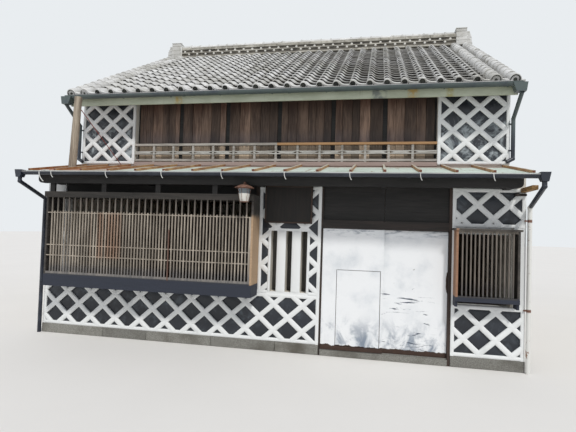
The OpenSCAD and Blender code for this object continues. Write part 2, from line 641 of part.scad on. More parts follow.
module upper_gutters() color("darkslategray") back_twin() {
  z = eave_z - roof_t*cos(roof_pitch) - 3;
  difference() {
    union() {
      along_x(-roof_x - 20, roof_x + 20) gutter_shape(gut_y, gut_z, gutter_w/2, gutter_h);
      // straps that hold it to the fascia
      for (i = [-4 : 4]) translate([i*half_ken*0.985, 0, 0])
        box([-10, gut_y, z - 12], [10, eave_y + 72 - seat, z]);
    }
    along_x(-roof_x - 20 + gutter_t, roof_x + 20 - gutter_t)
      gutter_shape(gut_y, gut_z + 1, gutter_w/2 - gutter_t, gutter_h - gutter_t + 1);
  }
}
// half-round gutter with upright rims: z its top, r half its width, h its depth
module gutter_shape(y, z, r, h) {
  translate([y - r, z - h + r]) square([2*r, h - r]);
  intersection() {
    translate([y, z - h + r]) circle(r);
    translate([y - r - 1, z - h - 1]) square([2*r + 2, r + 1 + eps]);
  }
}
module rain_pipes() color("darkslategray") {
  px = x_out + pipe_d/2 + 5;
  gz = gut_z - gutter_h;
  hx = pent_x + 50;                      // middle of the lower rain head
  hy = pent_f - 14 - seat - low_gutter_w/2 - 8;
  hz = low_gut_z - low_gutter_h - 40 - seat;
  twin() {
    // rain head round the upper gutter's end, its bend, and the pipe down the
    // corner to a shoe over the street roof
    py = up_bar - pipe_d/2 - 5;
    tz = pent_top(py) + 130;
    difference() {
      along_y(gut_y - gutter_w/2 - 14, gut_y + gutter_w/2)
        polygon([[px - 140, gut_z - 20], [px + 60, gut_z - 20], [px + 40, gz - 90], [px - 95, gz - 90]]);
      along_x(px - 150, roof_x + 20 + seat) gutter_shape(gut_y, gut_z, gutter_w/2 + seat, gutter_h + seat);
    }
    pipe_run([[px, gut_y, gz - 80], [px, py, gz - 380], [px, py, tz], [px - 95, py - 25, tz - 55]]);
    for (z = [tz + 120, gz - 470]) box([x_out - 25, py, z], [px, up_bar - seat, z + 20]);
    // the lower one, from the street gutter's rain head to the ground
    qy = bar_f - pipe_d/2 - 5;
    pipe_run([[hx, hy, hz], [hx, hy, hz - 60], [px, qy, hz - 290], [px, qy, 0]]);
    for (z = [hz - 480, dado_top - 30]) box([x_out - 25, qy, z], [px, bar_f - seat, z + 20]);
  }
}
// pipe through the points, with a bend at each inner one
module pipe_run(p) {
  for (i = [1 : len(p) - 1]) rod(p[i - 1], p[i], pipe_d);
  for (i = [1 : len(p) - 2]) translate(p[i]) sphere(d = pipe_d + 6);
}

// Leaning pole that stands on the street roof, with its stay
module pole() color("gray") {
  x = -3.72*half_ken; y = 0;
  difference() {
    rod([x, y, pent_top(y) - 120], [x + 60, y, eave_z - 163], 130);
    on_pent() box([-pent_x, -200, -600], [pent_x, pent_l, seat]);
  }
  rod([x + 85, y + 20, eave_z - 353], [-open_half - 225, up_bar - 30, pent_top(up_bar - 30) + 7], 14);
}

plinth();
threshold();
ground_floor();
upper_floor();
party_wall_left();
party_wall_right();
dado_wall();
window_wall();
front_walls();
front_posts();
door_head();
transoms();
wall_plate();
dado_lattice();
window_lattice();
right_lattice();
door_left();
door_right();
wicket();
bay_frame();
bay_lattice();
small_bay_frame();
small_bay_lattice();
street_roof();
roof_battens();
street_fascia();
street_gutter();
roof_purlin();
name_plank();
lamp();
upper_walls();
upper_lattice();
shutter_frame();
shutters();
balustrade();
back_wall();
roof_front();
roof_back();
ridge_stack();
ridge_ends();
fascias();
upper_gutters();
rain_pipes();
pole();
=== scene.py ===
"""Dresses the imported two-storey townhouse: pantiles, ridge, raised plaster
lattice with its wall tiles, boards, sheet metal, gutters and lantern.

Run as a script. Metres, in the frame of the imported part: the street side faces
-Y, X = 0 is the middle of the front and Z = 0 the ground.
"""
import math
import random

import bpy
import bmesh
from mathutils import Euler, Matrix, Vector


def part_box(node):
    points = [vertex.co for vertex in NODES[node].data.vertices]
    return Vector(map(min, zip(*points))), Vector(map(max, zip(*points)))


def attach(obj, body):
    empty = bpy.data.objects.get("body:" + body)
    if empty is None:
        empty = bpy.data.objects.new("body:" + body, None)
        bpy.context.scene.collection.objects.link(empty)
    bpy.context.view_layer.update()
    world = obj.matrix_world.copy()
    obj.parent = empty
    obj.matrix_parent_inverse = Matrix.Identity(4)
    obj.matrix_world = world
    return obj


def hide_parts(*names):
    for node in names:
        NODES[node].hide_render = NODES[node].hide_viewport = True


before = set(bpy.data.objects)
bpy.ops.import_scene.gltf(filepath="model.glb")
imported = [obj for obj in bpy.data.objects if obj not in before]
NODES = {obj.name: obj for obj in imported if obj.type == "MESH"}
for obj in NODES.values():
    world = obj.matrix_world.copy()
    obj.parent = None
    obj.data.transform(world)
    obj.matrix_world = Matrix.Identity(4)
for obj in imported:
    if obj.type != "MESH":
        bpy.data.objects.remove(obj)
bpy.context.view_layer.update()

bl_info = {
    "name": "Machiya townhouse",
    "version": (1, 0, 0),
    "blender": (4, 5, 0),
    "location": "3D View > Sidebar > Machiya",
    "description": "Tiles, boards, plaster and metal for the townhouse",
    "category": "Object",
}

# Measures

# Tiled roof: lower edge of a slope, ridge, pitch, and the verge's tile row
EAVE_Y, EAVE_Z = 0.278, 4.153
RIDGE_Y = 4.245
PITCH = math.radians(28.9)
VERGE_X = 3.668
TILE_ROWS = 28
TILE_W = 2 * VERGE_X / TILE_ROWS
# Second tile row in from a verge
ROW_X = VERGE_X - TILE_W
RIDGE_LO, RIDGE_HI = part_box("ridge_stack")
# Length of a slope to the middle of the ridge, and to the ridge's face
SLOPE_L = (RIDGE_Y - EAVE_Y) / math.cos(PITCH)
SLOPE_FACE = (RIDGE_LO[1] - EAVE_Y) / math.cos(PITCH)
# Outer side of the party walls
X_OUT = 3.730
# Lower and upper storey: face of the wall and face of the raised bars
CORE_F, BAR_F = -0.075, -0.100
UP_F, UP_BAR = 0.732, 0.707
# Face of the back wall
BACK_Y = 2 * RIDGE_Y - UP_F
# Street roof: front edge and pitch
PENT_F, PENT_Z = -0.660, 2.635
PENT_PITCH = math.radians(11.4)


def pent_top(y):
    """Height of the street roof's boards at y."""
    return PENT_Z + math.tan(PENT_PITCH) * (y - PENT_F)


# Colour

def linear(code):
    """sRGB hex to linear RGBA."""
    out = []
    for i in (1, 3, 5):
        c = int(code[i:i + 2], 16) / 255
        out.append(c / 12.92 if c <= 0.04045 else ((c + 0.055) / 1.055) ** 2.4)
    return (*out, 1.0)


def rgb(code):
    """sRGB hex to linear RGB."""
    return linear(code)[:3]


class MachiyaColours(bpy.types.PropertyGroup):
    tile: bpy.props.FloatVectorProperty(
        name="Pantile", description="Weathered face of the roof tiles",
        subtype="COLOR", size=3, min=0, max=1, default=rgb("#d3d3d1"))
    plaster: bpy.props.FloatVectorProperty(
        name="Lime plaster", description="Raised bars, borders and doors",
        subtype="COLOR", size=3, min=0, max=1, default=rgb("#e2e4e3"))
    wall_tile: bpy.props.FloatVectorProperty(
        name="Wall tile", description="Dark tiles between the raised bars",
        subtype="COLOR", size=3, min=0, max=1, default=rgb("#23272e"))
    shutter: bpy.props.FloatVectorProperty(
        name="Shutter boards", description="Cedar of the upper shutters",
        subtype="COLOR", size=3, min=0, max=1, default=rgb("#80695a"))
    sheet: bpy.props.FloatVectorProperty(
        name="Street roof sheet", description="Faded paint of the street roof",
        subtype="COLOR", size=3, min=0, max=1, default=rgb("#c9d6cc"))
    gutter: bpy.props.FloatVectorProperty(
        name="Gutter paint", description="Gutters, rain heads and pipes",
        subtype="COLOR", size=3, min=0, max=1, default=rgb("#1d222d"))


class MachiyaSizes(bpy.types.PropertyGroup):
    courses: bpy.props.IntProperty(
        name="Tile courses", description="Courses of pantiles on one slope",
        default=19, min=16, max=24)
    tile_lift: bpy.props.FloatProperty(
        name="Tile lift", description="How far a tile's lip stands over the next course",
        default=0.040, min=0.020, max=0.05, unit="LENGTH")
    disc_r: bpy.props.FloatProperty(
        name="Eave disc radius", description="Round face of an eave tile",
        default=0.054, min=0.04, max=0.06, unit="LENGTH")
    crown: bpy.props.FloatProperty(
        name="Plaster crown", description="Height of the rounded top of a raised bar",
        default=0.011, min=0.004, max=0.02, unit="LENGTH")
    bar_w: bpy.props.FloatProperty(
        name="Bar width", description="Width of a raised plaster bar",
        default=0.076, min=0.06, max=0.09, unit="LENGTH")
    hanger_step: bpy.props.FloatProperty(
        name="Hanger spacing", description="Distance between the gutter hangers",
        default=0.900, min=0.4, max=1.0, unit="LENGTH")


# Nodes and finishes

def add(tree, kind, links=None, **settings):
    """Adds one node with its settings, and its input values or links."""
    n = tree.nodes.new(kind)
    for key, value in settings.items():
        setattr(n, key, value)
    for key, value in (links or {}).items():
        socket = n.inputs[key]
        if isinstance(value, bpy.types.NodeSocket):
            tree.links.new(value, socket)
        else:
            socket.default_value = value
    return n


class Paint:
    """One new material, with short words for the nodes that lay its pattern."""

    def __init__(self, name, **constants):
        self.material = bpy.data.materials.new(name)
        self.material.use_nodes = True
        self.tree = self.material.node_tree
        self.shader = self.tree.nodes["Principled BSDF"]
        for key, value in constants.items():
            self.shader.inputs[key.replace("_", " ")].default_value = value

    def node(self, kind, links=None, out=0, **settings):
        return add(self.tree, kind, links, **settings).outputs[out]

    def parts(self, vector):
        return add(self.tree, "ShaderNodeSeparateXYZ", {0: vector}).outputs

    def xyz(self):
        """Place on the house, in metres."""
        return self.parts(self.node("ShaderNodeTexCoord", out="Object"))

    def facing(self):
        return self.parts(self.node("ShaderNodeNewGeometry", out="Normal"))

    def math(self, operation, *values):
        return self.node("ShaderNodeMath", dict(enumerate(values)), operation=operation)

    def times(self, *factors):
        out = factors[0]
        for f in factors[1:]:
            out = self.math("MULTIPLY", out, f)
        return out

    def blend(self, factor, a, b):
        """Two colours, each a hex code or a socket, mixed by a factor."""
        a, b = (linear(c) if isinstance(c, str) else c for c in (a, b))
        return self.node("ShaderNodeMix", {0: factor, 6: a, 7: b}, 2, data_type="RGBA", clamp_factor=True)

    def band(self, value, low, high):
        """0 below low, 1 above high, smooth between; the other way round if low > high."""
        return self.node("ShaderNodeMapRange", {"Value": value, "From Min": low, "From Max": high},
                         interpolation_type="SMOOTHSTEP")

    def within(self, value, low, high, soft):
        """1 where the value lies between low and high, with soft ends."""
        return self.times(self.band(value, low - soft, low), self.band(value, high + soft, high))

    def noise(self, scale, detail=4.0, rough=0.55, warp=0.0, stretch=(1, 1, 1)):
        """Noise on object coordinates, finer along an axis that is stretched more."""
        where = self.node("ShaderNodeTexCoord", out="Object")
        where = self.node("ShaderNodeMapping", {"Vector": where, "Scale": stretch})
        return self.node("ShaderNodeTexNoise", {"Vector": where, "Scale": scale, "Detail": detail,
                         "Roughness": rough, "Distortion": warp}, "Fac")

    def spots(self, scale, detail, rough, low, high, warp=0.0, stretch=(1, 1, 1)):
        """Patches where the noise passes from low to high."""
        return self.band(self.noise(scale, detail, rough, warp, stretch), low, high)

    def show(self, colour, tone=0.0, height=None, depth=0.0, strength=0.6):
        """Wires the colour and the relief up; tone makes each tile or board lighter or darker."""
        if tone:
            own = self.node("ShaderNodeAttribute", out="Fac", attribute_name="tone")
            own = self.math("MULTIPLY_ADD", own, tone, 1.0)
            colour = self.node("ShaderNodeVectorMath", {0: colour, 3: own}, operation="SCALE")
        self.tree.links.new(colour, self.shader.inputs["Base Color"])
        if height is not None:
            bump = self.node("ShaderNodeBump", {"Height": height, "Distance": depth, "Strength": strength})
            self.tree.links.new(bump, self.shader.inputs["Normal"])
        return self.material


def pantile(base, name="smoked_clay_pantile", hollow_shade=0.0):
    # Smoked clay, fired and then weathered for decades: pale and dull, each
    # tile a little different, with soft grey growth and a few dark specks.
    # The hollow between two rolls is darker, as painted shade.
    p = Paint(name, Roughness=0.62)
    c = p.blend(p.spots(1.3, 4, 0.55, 0.40, 0.68), base, "#b2b1ab")
    c = p.blend(p.spots(9, 5, 0.6, 0.52, 0.74), c, "#9d9b93")
    grit = p.noise(55, 3)
    c = p.blend(p.band(grit, 0.60, 0.74), c, "#7d7a70")
    # painted shade in the hollow between two rolls
    if hollow_shade:
        across = p.math("MULTIPLY_ADD", p.xyz()[0], 1 / TILE_W, VERGE_X / TILE_W + 1)
        across = p.math("MULTIPLY_ADD", p.noise(7, 4), 0.10, p.math("FRACT", across))
        c = p.blend(p.times(p.within(across, 0.40, 0.84, 0.10), hollow_shade), c, "#6f6c66")
    return p.show(c, 0.24, grit, 0.0012)


def shaded_clay(name, light, dark):
    # The same clay, browner and darker where rain runs less; darkest in the ridge's core, as painted shade.
    p = Paint(name, Roughness=0.7)
    return p.show(p.blend(p.spots(5, 5, 0.55, 0.35, 0.65), light, dark), 0.4, p.noise(70, 3), 0.0015)


def wall_tile(base):
    # Flat kiln-dark tiles on the wall: near black with soft grey clouds,
    # slightly glossy; on the upper wings, below the eave's shadow line, paler
    # grey, partly lime that ran down and partly painted sunlight.
    p = Paint("kiln_dark_wall_tile", Roughness=0.42)
    z = p.xyz()[2]
    c = p.blend(p.spots(6, 6, 0.65, 0.50, 0.78, 0.6), base, "#4c545b")
    # paler below the eave's shadow line: lime smears and painted sunlight
    lime_smear_and_sunlight = p.times(p.band(z, 2.9, 3.1), p.band(z, 3.80, 3.50), p.spots(3.6, 6, 0.7, 0.46, 0.62, 0.8))
    c = p.blend(lime_smear_and_sunlight, c, "#9aa2a5")
    return p.show(c, 0.4, p.noise(45, 3), 0.0012)


def lime_plaster(base, name="raised_lime_plaster"):
    # Burnished lime putty laid by hand: white and matt, faint trowel waves,
    # a little grey where dust settles and small chips.
    p = Paint(name, Roughness=0.82)
    c = p.blend(p.spots(2.6, 5, 0.6, 0.52, 0.80), base, "#cdd0cf")
    c = p.blend(p.spots(17, 5, 0.7, 0.72, 0.77), c, "#989b9c")
    return p.show(c, height=p.noise(18, 4), depth=0.0025, strength=0.35)


def door_plaster(base):
    # Lime plaster over boards: nearly white, with painted bluish shade low down,
    # dark streaks where it has cracked along the boards, and a ragged dark foot
    # and side where it has come off the wood.
    p = Paint("door_lime_plaster", Roughness=0.78)
    x, _, z = p.xyz()
    c = p.blend(p.spots(2.0, 5, 0.6, 0.48, 0.80), base, "#cdd2d6")
    # painted bluish shade, stronger towards the foot
    painted_shade_low = p.times(p.band(z, 0.80, 0.18), p.spots(2.4, 6, 0.62, 0.42, 0.66, 0.5, (2.2, 2.2, 1.6)),
                   p.band(z, 0.9, 0.3))
    c = p.blend(painted_shade_low, c, "#7d8896")
    # streaks along the boards of the right leaf, and two short scars higher up
    streak = p.times(p.spots(1.0, 5, 0.58, 0.615, 0.66, 0.9, (2.4, 2.4, 21)),
                     p.within(z, 0.22, 0.92, 0.10), p.within(x, 1.88, 2.52, 0.10))
    c = p.blend(streak, c, "#4d5663")
    scar = p.times(p.spots(1.0, 4, 0.6, 0.66, 0.69, 1.6, (5, 5, 9)),
                   p.within(z, 0.86, 1.12, 0.04), p.within(x, 1.92, 2.26, 0.04))
    c = p.blend(scar, c, "#4a5360")
    # small chips, and painted bluish shade along the top rail
    c = p.blend(p.spots(13, 4, 0.6, 0.73, 0.76), c, "#8b8780")
    top = p.times(p.band(z, 1.72, 1.86), p.spots(2.0, 5, 0.6, 0.46, 0.70, stretch=(3, 3, 14)))
    c = p.blend(top, c, "#8f96a0")
    # plaster gone: along the foot, and a bite in the right edge
    rag = p.noise(9, 6, 0.62, stretch=(1, 1, 0.45))
    edge = p.math("MULTIPLY_ADD", rag, 0.10, 0.115)
    foot = p.band(p.math("SUBTRACT", z, edge), 0.006, -0.004)
    bite_x, bite_z, bite_w, bite_h = 2.738, 1.16, 0.034, 0.16
    bite = p.node("ShaderNodeCombineXYZ", {0: p.math("MULTIPLY_ADD", x, 1 / bite_w, -bite_x / bite_w),
                  2: p.math("MULTIPLY_ADD", z, 1 / bite_h, -bite_z / bite_h)})
    bite = p.node("ShaderNodeVectorMath", {0: bite}, 1, operation="LENGTH")
    bite = p.band(p.math("MULTIPLY_ADD", rag, 0.9, bite), 1.46, 1.36)
    gone = p.math("MAXIMUM", foot, bite)
    c = p.blend(gone, c, p.blend(p.noise(22, 5), "#2a1f1a", "#4a3428"))
    return p.show(c, height=p.math("MULTIPLY_ADD", gone, -0.6, p.noise(14, 4)), depth=0.005)


def wall_plaster():
    # Coarser, older plaster of the party and back walls: warm grey-white with
    # long rain streaks and a darker splash zone at the foot.
    p = Paint("aged_wall_plaster", Roughness=0.88)
    c = p.blend(p.spots(0.9, 6, 0.6, 0.38, 0.70), "#d8d4ca", "#bdb8ac")
    c = p.blend(p.spots(1.0, 6, 0.6, 0.55, 0.80, stretch=(7, 7, 0.35)), c, "#9c978c")
    splash = p.times(p.band(p.xyz()[2], 0.75, 0.15), p.noise(3.5, 5))
    c = p.blend(p.band(splash, 0.25, 0.65), c, "#857e72")
    return p.show(c, height=p.noise(26, 5, 0.6), depth=0.004, strength=0.5)


def cedar(name, light, dark, axis=2, width=0.012, amount=0.6, tint=None):
    # Sawn cedar left to the weather: fine grain along the length, paler
    # summer wood worn between darker lines, and blotches a hand wide.
    p = Paint(name, Roughness=0.72)
    fine, broad = [1 / width] * 3, [9.0] * 3
    fine[axis], broad[axis] = 0.05 / width, 1.1
    grain = p.noise(1.0, 6, 0.6, 0.35, fine)
    f = p.math("MULTIPLY_ADD", p.noise(1.0, stretch=broad), 0.5, p.times(grain, 0.5))
    c = p.blend(p.band(f, 0.36, 0.62), light, dark)
    if tint:
        c = tint(p, c, grain)
    return p.show(c, amount, grain, 0.0025, 0.55)


def shutter_tint(p, colour, grain):
    # Redder and darker under the eave, partly painted shade; greyer lower down; painted sunlight behind the
    # balustrade.
    z = p.xyz()[2]
    c = p.blend(p.band(z, 3.80, 4.10), colour, p.blend(0.72, colour, "#3c1f15"))
    ragged = p.math("MULTIPLY_ADD", grain, 0.22, z)
    c = p.blend(p.band(ragged, 3.72, 3.50), c, p.blend(0.35, colour, "#565459"))
    # painted sunlight: pale tan on the boards behind the balustrade
    return p.blend(p.band(ragged, 3.44, 3.36), c, p.blend(grain, "#cdbba6", "#937f69"))


def rail_tint(p, colour, grain):
    # The handrail's right part was renewed, so it is still golden; the mid
    # rail has kept a grey bloom.
    x, _, z = p.xyz()
    new = p.times(p.band(x, 0.020, 0.028), p.band(z, 3.276, 3.280))
    c = p.blend(new, colour, p.blend(grain, "#bb9468", "#7f5c3a"))
    return p.blend(p.times(p.within(z, 3.120, 3.190, 0.004), p.band(grain, 0.7, 0.3)), c, "#b9b9b4")


def slat_tint(p, colour, grain):
    # Each slat has its own age; one near the middle is redder from half
    # height down and a few at the left are warmer. Painted shade: darker
    # above 2.02 m, under the street roof, bluish grey at the feet and dark on
    # the bottom rail. The small bay's slats are darker.
    slat_step = 0.0505
    x, _, z = p.xyz()
    age = p.node("ShaderNodeTexWhiteNoise", {"W": p.math("ROUND", p.times(x, 1 / slat_step))}, "Value",
                 noise_dimensions="1D")
    c = p.blend(p.band(age, 0.2, 0.9), colour, p.blend(0.4, colour, "#6d655a"))
    warm = p.times(p.within(x, -2.60, -2.20, 0.1), p.within(z, 1.35, 1.95, 0.1), p.band(age, 0.2, 0.5))
    c = p.blend(warm, c, p.blend(0.45, colour, "#95684a"))
    # painted shade of the street roof on the upper slats
    c = p.blend(p.band(z, 2.01, 2.05), c, p.blend(0.7, colour, "#4a4742"))
    # painted bluish shade at the feet
    c = p.blend(p.band(z, 1.24, 1.10), c, p.blend(0.6, colour, "#4b4f57"))
    # painted shade on the bottom rail
    c = p.blend(p.band(z, 1.030, 1.022), c, "#3b3d42")
    c = p.blend(p.times(p.band(x, 2.70, 2.75), 0.62), c, "#35312e")
    return p.blend(p.times(p.within(x, -1.352, -1.332, 0.002), p.band(z, 1.80, 1.76)), c, "#60463a")


def bay_tint(p, colour, grain):
    # Painted shade: the sill boards are slate-dark; painted sunlight: the right cheek of each bay is tan.
    x, _, z = p.xyz()
    # painted shade on the sill boards
    c = p.blend(p.band(z, 1.014, 1.008), colour, p.blend(grain, "#2b3140", "#1c2029"))
    # painted sunlight on the right cheek of each bay
    cheek = p.times(p.within(x, -0.062, -0.028, 0.001), p.band(z, 1.0, 1.02), p.band(z, 2.06, 1.96))
    c = p.blend(cheek, c, p.blend(grain, "#bfa283", "#8c7358"))
    cheek = p.times(p.within(x, 2.798, 2.832, 0.001), p.band(z, 0.99, 1.0))
    return p.blend(cheek, c, p.blend(grain, "#a88468", "#6d4a36"))


def board_tint(p, colour, grain):
    # The board at the balustrade's foot has gone pink-grey.
    foot = p.within(p.xyz()[2], 2.80, 2.99, 0.002)
    return p.blend(foot, colour, p.blend(grain, "#b5a49c", "#806f67"))


def street_sheet(base):
    # Painted steel sheet faded to a greenish white, with rain streaks down
    # the slope; towards the left end most of the paint has gone to rust.
    p = Paint("faded_street_roof_sheet", Specular_IOR_Level=0.4)
    x, y, _ = p.xyz()
    c = p.blend(p.spots(1.6, 5, 0.6, 0.40, 0.72), base, "#aab7aa")
    streak = p.noise(1.0, 6, 0.62, stretch=(16, 1.3, 1.3))
    c = p.blend(p.band(streak, 0.56, 0.74), c, "#9a8672")
    left = p.band(p.math("MULTIPLY_ADD", streak, 1.6, x), -1.0, -2.2)
    c = p.blend(left, c, p.blend(streak, "#a8745a", "#8b6a5c"))
    c = p.blend(p.band(y, 0.35, 0.70), c, "#8a6b60")
    rust = p.noise(24, 5, 0.7)
    c = p.blend(p.band(rust, 0.62, 0.70), c, "#7a5340")
    rough = p.node("ShaderNodeMapRange", {"Value": streak, "To Min": 0.42, "To Max": 0.75})
    p.tree.links.new(rough, p.shader.inputs["Roughness"])
    return p.show(c, height=rust, depth=0.002, strength=0.4)


def batten_sheet():
    # Folded seam caps: paint left pale on top, worn to tan on the sides and
    # rusted through at the ends.
    p = Paint("rusty_seam_cap", Roughness=0.6)
    facing = p.facing()
    worn = p.noise(2.0, 6, 0.65, stretch=(3, 2, 3))
    side = p.blend(p.band(worn, 0.38, 0.66), "#b89266", "#946240")
    top = p.blend(p.band(worn, 0.40, 0.66), "#c6c9bd", "#a88c74")
    c = p.blend(p.band(facing[2], 0.5, 0.8), side, top)
    c = p.blend(p.band(facing[1], -0.5, -0.8), c, p.blend(worn, "#8a5640", "#5c3628"))
    c = p.blend(p.spots(30, 4, 0.55, 0.62, 0.72), c, "#6a4230")
    return p.show(c, height=p.noise(40, 3), depth=0.0015, strength=0.4)


def pale_sheet(name, base, worn, stain="#9a8a52"):
    # Painted sheet cladding, faded to a pale green, with rust tears under
    # the nails and grey weathering.
    p = Paint(name, Roughness=0.5)
    c = p.blend(p.spots(2.0, 6, 0.6, 0.36, 0.70, stretch=(1.2, 1.2, 3)), base, worn)
    c = p.blend(p.spots(1.0, 4, 0.6, 0.66, 0.80, stretch=(14, 14, 0.9)), c, stain)
    return p.show(p.blend(p.spots(30, 4, 0.7, 0.68, 0.74), c, "#6a5238"))


def fascia_sheet():
    # Sheet cladding of the eave board: faded green, with a grey lap and
    # yellow rust runs where water came through (middle, half width, colour).
    marks = ((2.26, 0.050, "#b9913c"), (-1.62, 0.035, "#b59a4e"), (1.755, 0.085, "#6f7674"),
             (2.81, 0.03, "#a8a06a"))
    p = Paint("faded_green_fascia", Roughness=0.5)
    c = p.blend(p.spots(2.0, 6, 0.6, 0.36, 0.70, stretch=(1.2, 1.2, 3)), "#bcc2ad", "#a9af99")
    tear = p.noise(1.0, 4, 0.6, stretch=(18, 18, 0.9))
    c = p.blend(p.band(tear, 0.62, 0.80), c, "#8b9078")
    ragged = p.math("MULTIPLY_ADD", tear, 0.06, p.xyz()[0])
    blotch = p.times(p.spots(11, 5, 0.7, 0.36, 0.60), 0.85)
    for middle, half, colour in marks:
        c = p.blend(p.times(p.within(ragged, middle - half, middle + half, 0.05), blotch), c, colour)
    return p.show(c, height=tear, depth=0.001, strength=0.3)


def gutter_paint(base):
    # Dark enamel on sheet gutters and pipes, blue at street level and
    # greener under the eave; the sides that face right are painted pale as
    # sunlight, and the lowest pipe at the right was painted white and has
    # rusted at its clips.
    p = Paint("dark_gutter_enamel", Roughness=0.38)
    x, y, z = p.xyz()
    right = p.band(x, 3.60, 3.70)
    enamel = p.blend(p.band(z, 3.2, 3.6), base, "#4a5554")
    c = p.blend(p.spots(4, 6, 0.6, 0.45, 0.75), enamel, "#353c47")
    c = p.blend(p.spots(26, 4, 0.7, 0.68, 0.76), c, "#5c4436")
    # painted sunlight on the sides that face right
    c = p.blend(p.times(p.band(p.facing()[0], 0.90, 0.97), right), c, "#b7c0c4")
    white = p.times(right, p.band(z, 2.30, 2.24), p.band(y, -0.20, -0.17))
    rust = p.blend(p.spots(9, 5, 0.7, 0.62, 0.70), "#d9d9d4", "#8a6a54")
    clips = p.math("MAXIMUM", p.within(z, 2.04, 2.06, 0.02), p.within(z, 0.83, 0.85, 0.02))
    return p.show(p.blend(white, c, p.blend(clips, rust, "#6d4a3a")))


def stone():
    # Dressed granite kerb: grey, speckled by mica and feldspar a few
    # millimetres across (drawn at 12 mm so that it shows), stained at the foot.
    p = Paint("dressed_granite", Roughness=0.8)
    c = p.blend(p.spots(80, 3, 0.8, 0.40, 0.62), "#8b8a84", "#67665f")
    c = p.blend(p.spots(2.4, 5, 0.55, 0.45, 0.75), c, "#55524a")
    return p.show(c, 0.35, p.noise(34, 5), 0.004, 0.7)


def earth():
    # Rammed earth and lime floor: brown, trodden smooth, slightly uneven.
    p = Paint("rammed_earth", Roughness=0.92)
    c = p.blend(p.spots(1.5, 6, 0.55, 0.35, 0.68), "#8d7860", "#6c5946")
    return p.show(c, height=p.noise(12, 5), depth=0.006)


def rusty(name, light, dark):
    # Thin iron left unpainted: brown rust with darker scabs.
    p = Paint(name, Roughness=0.75, Metallic=0.25)
    c = p.blend(p.spots(32, 6, 0.7, 0.40, 0.62), light, dark)
    return p.show(c, height=p.noise(90, 3), depth=0.001)


def glass(name, colour, rough, through):
    # Blown lantern glass: clear above, opal below, clouded by dust.
    p = Paint(name, Roughness=rough, Transmission_Weight=through, IOR=1.5)
    return p.show(p.blend(p.spots(18, 3, 0.55, 0.5, 0.8), colour, "#c9c7bd"))


# The finishes by short name
M = {}


def make_finishes(colours):
    def own(key):
        return (*getattr(colours, key), 1)

    M.update(
        tile=pantile(own("tile")),
        # field tiles: painted shade in the hollows between the rolls
        field_tile=pantile(own("tile"), "smoked_clay_field_tile", 0.55),
        ridge=shaded_clay("smoked_clay_ridge", "#bab7ad", "#8f8b80"),
        ridge_core=shaded_clay("smoked_clay_in_shade", "#5f5a50", "#3c3832"),
        disc=shaded_clay("smoked_clay_eave_face", "#44463f", "#272825"),
        bead=lime_plaster("#cfcdc6", "limed_ridge_bead"),
        wall_tile=wall_tile(own("wall_tile")),
        plaster=lime_plaster(own("plaster")),
        door=door_plaster("#e9ebec"),
        wall=wall_plaster(),
        stone=stone(),
        earth=earth(),
        sheet=street_sheet(own("sheet")),
        seam=batten_sheet(),
        fascia=fascia_sheet(),
        edge=pale_sheet("pale_edge_flashing", "#d0dad0", "#b3bfb4"),
        gutter=gutter_paint(own("gutter")),
        # pale rims: painted highlight along the gutters' top edges
        rim=pale_sheet("gutter_rim_painted_highlight", "#b4b4b4", "#85878a", "#6d6f72"),
        white_metal=pale_sheet("white_painted_iron", "#d6d6d2", "#b9bab6"),
        boards=cedar("floor_boards", "#a98a66", "#7d6247", 1, 0.02),
        bed=cedar("roof_boards", "#6f6155", "#463b33", 1, 0.02),
        dark_wood=cedar("blackened_cedar", "#262423", "#131211", 0, amount=0.8),
        plank_wood=cedar("name_plank_cedar", "#1f1915", "#110e0c", 2, 0.02),
        frame_wood=cedar("plank_frame_cedar", "#45342a", "#2b201a", 0),
        brown_wood=cedar("stained_cedar_rail", "#5d4133", "#35251d", 0, tint=board_tint),
        lintel_wood=cedar("door_lintel_cedar", "#2f2723", "#1b1614", 0),
        post_wood=cedar("stained_cedar_post", "#3f2f27", "#231a15"),
        end_wood=cedar("bare_beam_end", "#b8935f", "#7d5b38", 1, 0.02),
        # bay timber: dark grey as painted shade over its weathered grey-tan
        bay_wood=cedar("bay_cedar", "#48433e", "#2c2926", 0, 0.02, tint=bay_tint),
        slat_wood=cedar("weathered_slat_cedar", "#b5aa9b", "#766e63", tint=slat_tint),
        window_wood=cedar("grey_window_boards", "#696660", "#4b4945", 2, 0.02),
        rail_wood=cedar("balustrade_cedar", "#b4afa8", "#77726a", 0, tint=rail_tint),
        shutter=cedar("shutter_cedar", own("shutter"), "#433229", amount=1.3, tint=shutter_tint),
        pole_wood=cedar("bare_pole_cedar", "#ab9f8d", "#655a4e", 2, 0.018),
        rust=rusty("rusted_iron", "#8a6656", "#5c4238"),
        stay=rusty("red_lead_rod", "#8e4238", "#5e2a24"),
        clear_glass=glass("clear_lantern_glass", "#aab6bd", 0.08, 0.65),
        opal_glass=glass("opal_lantern_glass", "#e4e2da", 0.35, 0.10),
    )


# Mesh code

# Radius at which a turned profile meets its axis
TIP = 0.0001


def arc(radius, steps, sweep=2 * math.pi):
    """Points on a circle about the origin, from +X on."""
    angles = [sweep * i / steps for i in range(steps + 1)]
    return [(radius * math.cos(a), radius * math.sin(a)) for a in angles]


